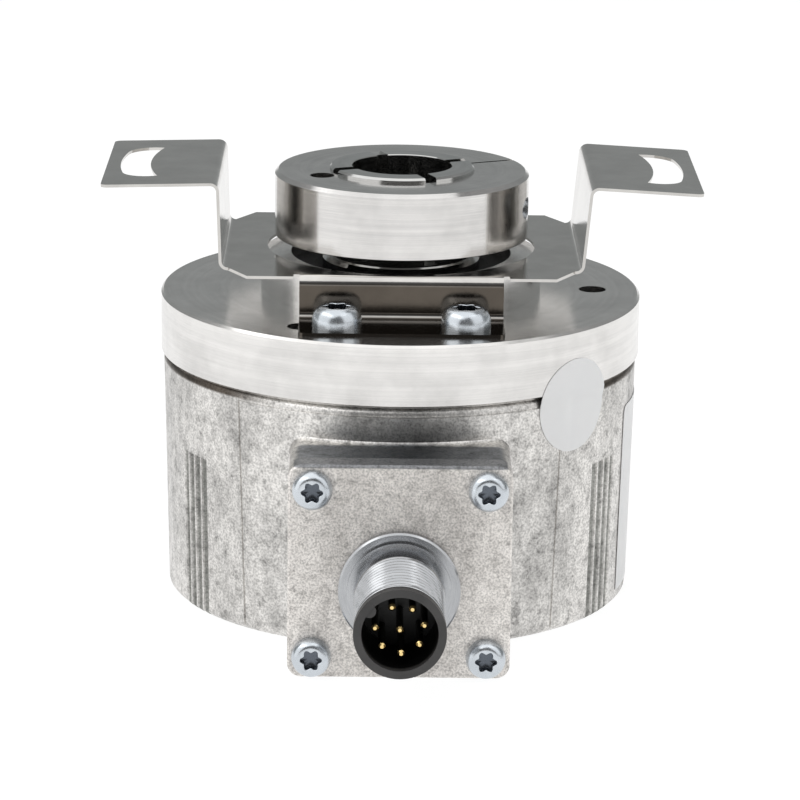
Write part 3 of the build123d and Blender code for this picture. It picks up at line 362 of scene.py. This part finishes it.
def plain_finish(name, light, dark, metallic, gloss, grain_mm, depth_mm, specular=0.5):
    """A cast, moulded or plated surface: patchy colour, patchy gloss and a fine grain in height."""
    material, tree, shader = new_finish(name)
    here = place_mm(tree)
    patch = noise(tree, here, patch_scale, 4.0, 0.6)
    grain = noise(tree, here, 1 / grain_mm, 3.0, 0.6)
    tree.links.new(ramp(tree, patch, [(0.35, dark), (0.65, light)]), shader.inputs["Base Color"])
    tree.links.new(ramp(tree, grain, [(0.3, gloss * 0.85), (0.7, gloss * 1.15)]),
                   shader.inputs["Roughness"])
    tree.links.new(bump(tree, grain, depth_mm), shader.inputs["Normal"])
    shader.inputs["Metallic"].default_value = metallic
    shader.inputs["Specular IOR Level"].default_value = specular
    return material


bearing_finish = turned_metal("bearing_steel", (0.75, 0.76, 0.77), (0.62, 0.63, 0.64), 0.12, 0.001)
spring_finish = plain_finish("spring_steel", (0.30, 0.31, 0.33), (0.20, 0.21, 0.23),
                             1.0, 0.3, 0.3, 0.004)
brass_finish = plain_finish("turned_brass", (0.80, 0.62, 0.32), (0.66, 0.50, 0.25),
                            1.0, 0.28, 0.3, 0.003)
rubber_finish = plain_finish("black_rubber", (0.030, 0.030, 0.032), (0.016, 0.016, 0.017),
                             0.0, 0.55, 0.25, 0.006, 0.4)
dress(["front_bearing_outer_ring", "rear_bearing_outer_ring", "front_bearing_inner_ring",
       "rear_bearing_inner_ring", "front_bearing_balls", "rear_bearing_balls"], bearing_finish)
dress(["bearing_retainer", "shaft_retainer"], spring_finish)
dress(["front_bearing_cage", "rear_bearing_cage", "upper_posts", "middle_posts", "lower_posts"],
      brass_finish)
dress(["shaft_seal", "housing_seal", "rear_seal", "plate_gasket"], rubber_finish)

# Hollow shaft: turned from stainless bar, bored through and sawn into four fingers in front.
# The clamp ring, a turned and slit steel ring, squeezes those fingers with its cross screw.
shaft_finish = turned_metal("turned_shaft", (0.66, 0.66, 0.65), (0.50, 0.50, 0.49), 0.13, 0.002)
ring_finish = turned_metal("clamp_ring_steel", (0.80, 0.785, 0.765), (0.62, 0.61, 0.60),
                           0.15, 0.003)
dress(["hollow_shaft", "bearing_spacer"], shaft_finish)
dress(["clamp_ring"], ring_finish)

# Bracket: cold-rolled stainless spring sheet, blanked and folded, nearly a mirror. Two screws hold
# each of its feet on the flange. The upright wall of each foot gets a dark brown painted reflection
# and the foot an almost black one.
far_limit = 90.0


def inside(tree, value, low, high, soft=0.1):
    """1 where a value in millimetres lies between two limits and 0 outside, with soft steps. The
    far limit lies beyond every piece, and stands for a side that has no limit."""
    steps = []
    for limit in (low, high):
        step = tree.nodes.new("ShaderNodeMapRange")
        step.interpolation_type = "SMOOTHSTEP"
        step.inputs["From Min"].default_value = limit - soft
        step.inputs["From Max"].default_value = limit + soft
        tree.links.new(value, step.inputs["Value"])
        steps.append(step.outputs["Result"])
    return math_node(tree, "SUBTRACT", steps[0], steps[1])


def split_mm(tree):
    """The place on the object as three sockets, x, y and z in millimetres."""
    split = tree.nodes.new("ShaderNodeSeparateXYZ")
    tree.links.new(place_mm(tree), split.inputs[0])
    return split.outputs


def paint_shade(material, areas, colour):
    """Paints shade on a finish: multiplies its colour by another where every one of the areas, 0 to
    1, is 1.
    """
    tree = material.node_tree
    shader = next(node for node in tree.nodes if node.type == "BSDF_PRINCIPLED")
    area = areas[0]
    for other in areas[1:]:
        area = math_node(tree, "MULTIPLY", area, other)
    base = shader.inputs["Base Color"].links[0].from_socket
    tree.links.new(blend(tree, "MULTIPLY", area, base, colour), shader.inputs["Base Color"])


bracket_finish = plain_finish("stainless_sheet", (0.64, 0.625, 0.60), (0.54, 0.525, 0.505),
                              1.0, 0.13, 0.5, 0.0012)
foot_width = 12.2
fold_wall = (16.9, 17.6)
wall_height = (0.7, 4.5)
foot_height = 0.8
wall_painted_reflection, foot_painted_reflection = (0.17, 0.15, 0.13), (0.18, 0.165, 0.15)
sheet_tree = bracket_finish.node_tree
sheet_x, sheet_y, sheet_z = split_mm(sheet_tree)
fold_distance = math_node(sheet_tree, "ABSOLUTE", sheet_y)
foot_area = inside(sheet_tree, sheet_x, -foot_width, foot_width)
# Painted dark reflections on the upright wall and on the foot.
paint_shade(bracket_finish,
     [foot_area, inside(sheet_tree, fold_distance, *fold_wall),
      inside(sheet_tree, sheet_z, *wall_height, soft=0.4)], wall_painted_reflection)
paint_shade(bracket_finish,
     [foot_area, inside(sheet_tree, fold_distance, fold_wall[1], far_limit),
      inside(sheet_tree, sheet_z, -far_limit, foot_height, soft=0.2)], foot_painted_reflection)
dress(["mounting_bracket"], bracket_finish)

# Screws: pan heads of zinc-plated steel with a blue sheen, each with a six-lobed recess.
# The recesses get painted shade below the top of the head.


def zinc_plate(name):
    """Zinc plate, softly glossy."""
    return plain_finish(name, (0.66, 0.70, 0.74), (0.54, 0.58, 0.62), 1.0, 0.26, 0.3, 0.003)


zinc_finish = zinc_plate("zinc_plate")
dress(["clamp_screw", "housing_screws", "hub_screws"], zinc_finish)
foot_head_radius, foot_head_height = 2.9, 2.5
foot_shank_radius, foot_shank_length = 1.5, 6.0
plate_head_radius, plate_head_height = 2.275, 1.7
plate_shank_radius, plate_shank_length = 1.25, 8.0
lobe_count = 6
lobe_depth = 0.16
recess_share = 0.48
flat_share = 0.60
rim_share = 0.28
recess_depth_share = 0.62
tip_share, tip_length_share = 0.8, 0.3
seat_share, seat_rise_share = 0.96, 0.05
mouth_share, mouth_drop_share = 1.04, 0.98
wall_foot_share, wall_foot_rise = 0.96, 1.05
floor_edge_share = 0.90
floor_middle_share, floor_middle_drop = 0.3, 0.9
dome_steps = 12
screw_sides = 96
recess_shade_depth = 0.12
recess_painted_shade = (0.20, 0.21, 0.23)


def lobed_screw(head_radius, head_height, shank_radius, shank_length):
    """One pan-head screw on z, head seated at 0, as rows of points: a profile of radius and height
    turned about z. From the rim the dome is a quarter ellipse up to a small flat. Inside it the
    radius is multiplied by 1 plus the lobe depth times the cosine of six times the angle."""
    climb = np.linspace(0, math.pi / 2, dome_steps)
    rim = head_height * rim_share
    recess = head_radius * recess_share
    floor = head_height * (1 - recess_depth_share)
    below = [
        (shank_radius * tip_share, -shank_length),
        (shank_radius, -shank_length + shank_radius * tip_length_share), (shank_radius, 0),
        (head_radius * seat_share, 0), (head_radius, head_height * seat_rise_share),
    ]
    dome = np.stack([head_radius * (flat_share + (1 - flat_share) * np.cos(climb)),
                     rim + (head_height - rim) * np.sin(climb)], -1)
    hollow = [
        (recess * mouth_share, head_height), (recess, head_height * mouth_drop_share),
        (recess * wall_foot_share, floor * wall_foot_rise), (recess * floor_edge_share, floor),
        (recess * floor_middle_share, floor * floor_middle_drop),
    ]
    profile = np.concatenate([np.array(below), dome, np.array(hollow)])
    lobed = np.where(np.arange(len(profile)) >= len(below) + len(dome), lobe_depth, 0.0)
    angle = np.linspace(0, 2 * math.pi, screw_sides, endpoint=False)
    radius = profile[:, :1] * (1 + lobed[:, None] * np.cos(lobe_count * angle))
    return np.stack([radius * np.cos(angle), radius * np.sin(angle),
                     np.broadcast_to(profile[:, 1:], radius.shape)], -1)


def screw_finish(name, low, high, head_radius, facing_front):
    """Zinc plate with painted shade where the distance to a screw's axis is below the recess radius
    and the depth under the top face is above the shade depth. The axes stand in the box's corners."""
    material = zinc_plate(name)
    tree = material.node_tree
    x, y, z = split_mm(tree)
    across, least, most = (z, low.z, high.z) if facing_front else (y, low.y, high.y)
    squares = []
    for value, start, end in ((x, low.x, high.x), (across, least, most)):
        off_middle = math_node(
            tree, "ABSOLUTE", math_node(tree, "SUBTRACT", value, (start + end) / 2))
        off_axis = math_node(tree, "SUBTRACT", off_middle, (end - start) / 2 - head_radius)
        squares.append(math_node(tree, "MULTIPLY", off_axis, off_axis))
    distance = math_node(tree, "SQRT", math_node(tree, "ADD", *squares))
    depth = (math_node(tree, "SUBTRACT", y, low.y) if facing_front
             else math_node(tree, "SUBTRACT", high.z, z))
    reach = head_radius * recess_share * (1 + lobe_depth)
    # Painted shade inside the recess.
    paint_shade(material, [inside(tree, distance, -far_limit, reach, soft=0.04),
                    inside(tree, depth, recess_shade_depth, far_limit, soft=0.06)], recess_painted_shade)
    return material


def screw_set(name, node, screw, centres, facing_front, material):
    """Copies of one screw's points at several centres, as one closed mesh each joined in rows and
    columns with a flat cap at both ends. Facing front, the screw's y and z become z and -y."""
    rows, columns = screw.shape[:2]
    row, column = np.meshgrid(np.arange(rows - 1), np.arange(columns), indexing="ij")
    after = (column + 1) % columns
    sides = np.stack([row * columns + column, row * columns + after,
                      (row + 1) * columns + after, (row + 1) * columns + column], -1).reshape(-1, 4)
    caps = [np.arange(columns)[::-1], np.arange(columns) + (rows - 1) * columns]
    flat = screw.reshape(-1, 3)
    if facing_front:
        flat = np.stack([flat[:, 0], -flat[:, 2], flat[:, 1]], -1)
    spots = np.concatenate([flat + np.array(centre) for centre in centres]) * MM
    faces = []
    for copy in range(len(centres)):
        start = copy * len(flat)
        faces += (sides + start).tolist() + [(cap + start).tolist() for cap in caps]
    mesh = bpy.data.meshes.new(name)
    mesh.from_pydata(spots.tolist(), [], faces)
    mesh.materials.append(material)
    piece = bpy.data.objects.new(name, mesh)
    scene.collection.objects.link(piece)
    smooth_rounds(piece)
    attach(piece, "stator")
    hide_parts(node)


low, high = (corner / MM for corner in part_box("bracket_screws"))
screw_set("foot_screw_set", "bracket_screws",
          lobed_screw(foot_head_radius, foot_head_height, foot_shank_radius, foot_shank_length),
          [(x, y, high.z - foot_head_height)
           for x in (low.x + foot_head_radius, high.x - foot_head_radius)
           for y in (low.y + foot_head_radius, high.y - foot_head_radius)], False,
          screw_finish("foot_screw_zinc", low, high, foot_head_radius, False))
low, high = (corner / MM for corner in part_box("plate_screws"))
screw_set("plate_screw_set", "plate_screws",
          lobed_screw(plate_head_radius, plate_head_height, plate_shank_radius, plate_shank_length),
          [(x, low.y + plate_head_height, z)
           for x in (low.x + plate_head_radius, high.x - plate_head_radius)
           for z in (low.z + plate_head_radius, high.z - plate_head_radius)], True,
          screw_finish("plate_screw_zinc", low, high, plate_head_radius, True))

# Housing: a die-cast cap, left as cast, so its skin is blotchy with flow marks and small pits.
# Three long screws hold it on the flange, and four short ones hold the connector's plate on it.


def cast_metal(name, light, dark, gloss, grain_mm, depth_mm, blotch=1.0):
    """Bare die casting: blotches of two sizes, dark pits, and a grain that breaks up the gloss."""
    material, tree, shader = new_finish(name)
    here = place_mm(tree)
    flow = noise(tree, place_mm(tree, (1, 1, 0.45)), 0.10, 6.0, 0.7)
    patch = noise(tree, here, 0.7, 6.0, 0.75)
    grain = noise(tree, here, 1 / grain_mm, 2.0, 0.6)
    colour = ramp(tree, flow, [(0.36, dark), (0.58, light)])
    spots = ramp(tree, patch, [(0.32, 0.42), (0.46, 0.86), (0.62, 1.0)])
    mixed = blend(tree, "MULTIPLY", blotch, colour, spots)
    specks = ramp(tree, grain, [(0.36, 0.58), (0.6, 1.0)])
    tree.links.new(blend(tree, "MULTIPLY", 0.9, mixed, specks), shader.inputs["Base Color"])
    shader.inputs["Metallic"].default_value = 1.0
    tree.links.new(ramp(tree, patch, [(0.3, gloss * 1.3), (0.6, gloss * 0.85)]),
                   shader.inputs["Roughness"])
    coarse = bump(tree, patch, depth_mm * 3, 0.5)
    tree.links.new(bump(tree, grain, depth_mm, 0.8, coarse), shader.inputs["Normal"])
    return material


housing_finish = cast_metal("die_cast_skin", (0.92, 0.90, 0.87), (0.50, 0.49, 0.475),
                            0.36, 0.26, 0.022)
plate_finish = cast_metal("sand_cast_plate", (0.97, 0.935, 0.895), (0.72, 0.69, 0.66),
                          0.46, 0.24, 0.035, 0.7)

# Some places get painted shade: the hollows of the flutes, which stand in four groups at the sides,
# the tops of block and plate, and the rounded rim at both sides.
flute_first, flute_last = 27.0, 35.7
flute_pitch = 2.9
flute_top = -17.2
flute_floor_radius = 26.8
flute_margin = 1.0
flute_cut, flute_soft = -0.55, 0.25
block_front, block_top = -29.0, -12.0
plate_top_face = -11.75
housing_tree = housing_finish.node_tree
housing_x, housing_y, housing_z = split_mm(housing_tree)
flute_angle = math_node(housing_tree, "MULTIPLY", math_node(
    housing_tree, "ARCTAN2", math_node(housing_tree, "ABSOLUTE", housing_y),
    math_node(housing_tree, "ABSOLUTE", housing_x)), math.degrees(1))
flute_turn = math_node(housing_tree, "MULTIPLY", math_node(
    housing_tree, "SUBTRACT", flute_angle, flute_first), 2 * math.pi / flute_pitch)
flute_middle = inside(housing_tree, math_node(housing_tree, "COSINE", flute_turn),
                      flute_cut, far_limit, flute_soft)
housing_reach = math_node(housing_tree, "SQRT", math_node(
    housing_tree, "ADD", math_node(housing_tree, "MULTIPLY", housing_x, housing_x),
    math_node(housing_tree, "MULTIPLY", housing_y, housing_y)))
# Painted shade in the hollows of the flutes.
paint_shade(housing_finish,
     [inside(housing_tree, housing_reach, flute_floor_radius, far_limit),
      inside(housing_tree, flute_angle, flute_first - flute_margin, flute_last + flute_margin),
      flute_middle, inside(housing_tree, housing_z, -far_limit, flute_top, soft=0.3)],
     (0.42, 0.43, 0.42))
# Painted shade on the top of the block.
paint_shade(housing_finish,
     [inside(housing_tree, housing_y, -far_limit, block_front, soft=0.4),
      inside(housing_tree, housing_z, block_top, far_limit, soft=0.2)], (0.26, 0.285, 0.32))
# Painted shade on the rounded rim at both sides.
rim_top, rim_bottom = -7.0, -8.35
rim_side = 17.0
housing_off = math_node(housing_tree, "ABSOLUTE", housing_x)
paint_shade(housing_finish,
     [inside(housing_tree, housing_z, rim_bottom, rim_top, soft=0.15),
      inside(housing_tree, housing_off, rim_side, far_limit, soft=4.0)], (0.22, 0.19, 0.165))

# The pad's edge leans inwards towards the back, and a thin dark line of painted shade marks it in
# front.
pad_lean = 0.029
pad_edge = 19.05
pad_line_inner, pad_line_outer = 0.05, 0.15
pad_top, pad_bottom = -8.55, -36.1
pad_front, pad_side = -29.0, -18.0
pad_line = math_node(housing_tree, "SUBTRACT", housing_off,
                     math_node(housing_tree, "MULTIPLY", housing_z, pad_lean))
paint_shade(housing_finish,
     [inside(housing_tree, pad_line, pad_edge - pad_line_inner, pad_edge + pad_line_outer,
             soft=0.05),
      inside(housing_tree, housing_z, pad_bottom, pad_top, soft=0.2),
      inside(housing_tree, housing_y, pad_front, pad_side, soft=0.5)], (0.60, 0.585, 0.565))
# Painted shade on the plate's top face.
plate_tree = plate_finish.node_tree
paint_shade(plate_finish, [inside(plate_tree, split_mm(plate_tree)[2], plate_top_face, far_limit)],
     (0.34, 0.36, 0.39))
dress(["housing"], housing_finish)
dress(["connector_plate"], plate_finish)


def grid_piece(name, points, closed, material):
    """A piece on the stator from points in millimetres, rows by columns: each point joins the next
    in its row and in its column. A closed grid also joins end to start both ways, and its faces are
    turned so that the volume they hold is positive."""
    rows, columns = points.shape[:2]
    open_end = 0 if closed else 1
    row, column = np.meshgrid(
        np.arange(rows - open_end), np.arange(columns - open_end), indexing="ij"
    )
    next_row, next_column = (row + 1) % rows, (column + 1) % columns
    corners = [(row, column), (row, next_column), (next_row, next_column), (next_row, column)]
    faces = np.stack([i * columns + j for i, j in corners], -1).reshape(-1, 4)
    spots = points.reshape(-1, 3) * MM
    if closed:
        a, b, c, d = (spots[faces[:, corner]] for corner in range(4))
        held = np.sum(np.cross(a, b) * c) + np.sum(np.cross(a, c) * d)
        faces = faces if held > 0 else faces[:, ::-1]
    mesh = bpy.data.meshes.new(name)
    mesh.from_pydata(spots.tolist(), [], faces.tolist())
    mesh.materials.append(material)
    piece = bpy.data.objects.new(name, mesh)
    scene.collection.objects.link(piece)
    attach(piece, "stator")
    return piece


# Labels: two plain pieces of glued foil, one round across the joint of flange and housing, one
# wrapped round the right side. Both are blank, each a thin sheet on the metal with a cut edge.
foil_thickness = 0.06
flange_radius = 29.0
joint_height = -7.45
housing_top_radius = 28.7
housing_back_radius = 28.1
housing_height = 29.15
foil_lift = 0.03
sticker_radius = 5.6
sticker_angle = -45.0
sticker_height = -9.0
sticker_points = 41
joint_step = 1.6
pad_reach, pad_step = 20.4, 1.4
pad_rise = 0.25
label_start, label_end = -20.0, 20.0
label_top, label_bottom = -12.0, -35.2
label_corner = 1.1
label_rows, label_columns = 33, 81


def housing_radius(height):
    """Radius of the tapered housing at a height: straight from its top to its back."""
    share = (joint_height - height) / housing_height
    return housing_top_radius + (housing_back_radius - housing_top_radius) * share


def foil(name, angle, height, radius):
    """A sheet whose points stand at the given angle, height and radius from the shaft axis,
    thickened outwards."""
    spots = np.broadcast_arrays(radius * np.cos(angle), radius * np.sin(angle), height)
    piece = grid_piece(name, np.stack(spots, -1), False, foil_finish)
    thick = piece.modifiers.new("thickness", "SOLIDIFY")
    thick.thickness = foil_thickness * MM
    thick.offset = 1.0
    smooth_rounds(piece)
    return piece


foil_finish = plain_finish("label_foil", (0.95, 0.955, 0.955), (0.92, 0.925, 0.93),
                           0.0, 0.38, 0.4, 0.004)

# The round sticker: a square grid pressed into a disc, s = u sqrt(1 - v v / 2) and likewise t. Its
# radius slides from the flange's to the housing's below the joint and rises over the pad's edge.
grid_line = np.linspace(-1, 1, sticker_points)
v, u = np.meshgrid(grid_line, grid_line, indexing="ij")
across = u * np.sqrt(1 - v**2 / 2) * sticker_radius
up = v * np.sqrt(1 - u**2 / 2) * sticker_radius
sticker_turn = math.radians(sticker_angle) + across / flange_radius
sticker_z = sticker_height + up
over_pad = np.clip((pad_reach - flange_radius * np.cos(sticker_turn)) / pad_step, 0, 1)
metal_radius = housing_radius(sticker_z) + pad_rise * over_pad**2 * (3 - 2 * over_pad)
over_joint = np.clip((sticker_z - joint_height) / joint_step + 1, 0, 1)
over_joint = over_joint**2 * (3 - 2 * over_joint)
foil("round_sticker", sticker_turn, sticker_z,
     metal_radius + (flange_radius - metal_radius) * over_joint + foil_lift)

# The side label: rows from its lower to its upper edge, with a rounded upper corner at its start.
rise, turn_share = np.meshgrid(
    np.linspace(0, 1, label_rows), np.linspace(0, 1, label_columns), indexing="ij"
)
label_angle = np.radians(label_start + (label_end - label_start) * turn_share)
from_start = (label_angle - math.radians(label_start)) * housing_top_radius
inset = np.clip(label_corner - from_start, 0, label_corner)
upper_edge = label_top - (label_corner - np.sqrt(label_corner**2 - inset**2))
label_z = label_bottom + (upper_edge - label_bottom) * rise
foil("side_label", label_angle, label_z, housing_radius(label_z) + foil_lift)

# Connector: a nickel-plated barrel with a black moulded insert and gold-plated pins. A nut behind
# the plate clamps the barrel on it.
barrel_height = -26.0
nickel_finish = turned_metal("nickel_plate", (0.54, 0.55, 0.565), (0.42, 0.43, 0.445),
                             0.2, 0.002, "Y", (0, 0, barrel_height * MM))
insert_finish = plain_finish("insert_plastic", (0.055, 0.053, 0.052), (0.035, 0.034, 0.034),
                             0.0, 0.4, 0.2, 0.004)
gold_finish = plain_finish("gold_plate", (0.95, 0.72, 0.33), (0.80, 0.58, 0.24),
                           1.0, 0.2, 0.2, 0.001)

# Moulding and pins darken with depth inside the socket, as painted shade.
mouth_depth = 0.9
pin_depth = 2.2
dark_length = 12.0
for deep_finish in (insert_finish, gold_finish):
    deep_tree = deep_finish.node_tree
    deep_y = split_mm(deep_tree)[1]
    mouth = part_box("connector_insert")[0].y / MM
    tip = mouth + mouth_depth if deep_finish is insert_finish else mouth + pin_depth
    paint_shade(deep_finish, [inside(deep_tree, deep_y, tip, mouth + dark_length, soft=0.35)],
         (0.03, 0.03, 0.03))
dress(["connector_nut"], nickel_finish)
dress(["connector_insert", "cable_header", "lamp_holder"], insert_finish)

barrel_front = -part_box("connector_barrel")[0].y / MM
barrel_back = -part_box("connector_barrel")[1].y / MM
barrel_bore_radius = 4.6
stem_radius = 5.4
outer_collar_radius, inner_collar_radius = 6.95, 5.95
outer_collar_length, inner_collar_length = 1.0, 0.6
collar_edge = 0.2
neck_radius, neck_length = 4.8, 2.0
crest_radius, thread_length, thread_edge = 5.15, 11.0, 0.3
thread_pitch = 1.0
thread_depth = 0.38
thread_fade = 0.8
wave_gain, wave_drop = 1.4, 0.2
thread_steps = 22
barrel_sides = 144


def threaded_barrel():
    """The barrel's closed profile turned about its axis. Along the thread the radius drops from
    the crest by the depth times a clipped triangle wave of reach over pitch minus turns, which
    fades out at both ends, so that the crest runs round as one helix."""
    neck_front = barrel_front - thread_length
    step_front = neck_front - neck_length
    collar_front = step_front - inner_collar_length
    plate_front = collar_front - outer_collar_length
    reach = np.linspace(neck_front + thread_edge, barrel_front - thread_edge,
                        int(thread_length / thread_pitch * thread_steps))
    behind = [
        (barrel_bore_radius, barrel_back), (stem_radius, barrel_back), (stem_radius, plate_front),
        (outer_collar_radius, plate_front), (outer_collar_radius, collar_front - collar_edge),
        (outer_collar_radius - collar_edge, collar_front), (inner_collar_radius, collar_front),
        (inner_collar_radius, step_front), (neck_radius, step_front), (neck_radius, neck_front),
    ]
    before = [(crest_radius - thread_edge, barrel_front), (barrel_bore_radius, barrel_front)]
    thread = np.stack([np.full_like(reach, crest_radius), reach], -1)
    profile = np.concatenate([np.array(behind), thread, np.array(before)])
    threaded = np.zeros(len(profile))
    ends = np.minimum(reach - reach[0], reach[-1] - reach) / thread_fade
    threaded[len(behind):len(behind) + len(reach)] = np.clip(ends, 0, 1)
    angle = np.linspace(0, 2 * math.pi, barrel_sides, endpoint=False)
    phase = (profile[:, 1:] / thread_pitch - angle[None, :] / (2 * math.pi)) % 1.0
    wave = np.clip(wave_gain * (1 - np.abs(2 * phase - 1)) - wave_drop, 0, 1)
    radius = profile[:, :1] - thread_depth * wave * threaded[:, None]
    return np.stack([radius * np.cos(angle), np.broadcast_to(-profile[:, 1:], radius.shape),
                     barrel_height + radius * np.sin(angle)], -1)


barrel = grid_piece("threaded_barrel", threaded_barrel(), True, nickel_finish)
smooth_rounds(barrel)
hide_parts("connector_barrel")
dress(["connector_pins"], gold_finish)

# Inside: green boards with black chips, aluminium cans, a grey flat cable and a glass disc.
# Brass posts space the sensor and main boards between the flange and the housing's floor.
board_finish = plain_finish("board_lacquer", (0.03, 0.20, 0.09), (0.02, 0.15, 0.07),
                            0.0, 0.3, 0.6, 0.004)
chip_finish = plain_finish("chip_plastic", (0.035, 0.035, 0.038), (0.025, 0.025, 0.027),
                           0.0, 0.5, 0.15, 0.004)
can_finish = plain_finish("can_aluminium", (0.75, 0.76, 0.77), (0.66, 0.67, 0.68),
                          1.0, 0.25, 0.3, 0.002)
cable_finish = plain_finish("cable_plastic", (0.42, 0.43, 0.45), (0.36, 0.37, 0.39),
                            0.0, 0.45, 0.3, 0.003)
lens_finish = plain_finish("lamp_lens", (0.55, 0.62, 0.75), (0.48, 0.55, 0.68),
                           0.0, 0.1, 0.4, 0.001)
disc_finish = plain_finish("coded_glass", (0.30, 0.34, 0.36), (0.22, 0.25, 0.27),
                           0.3, 0.06, 0.5, 0.0005)
dress(["sensor_board", "main_board", "connector_board"], board_finish)
dress(["board_chips", "light_sensor"], chip_finish)
dress(["board_capacitors"], can_finish)
dress(["flat_cable"], cable_finish)
dress(["lamp"], lens_finish)
dress(["code_disc", "reticle"], disc_finish)
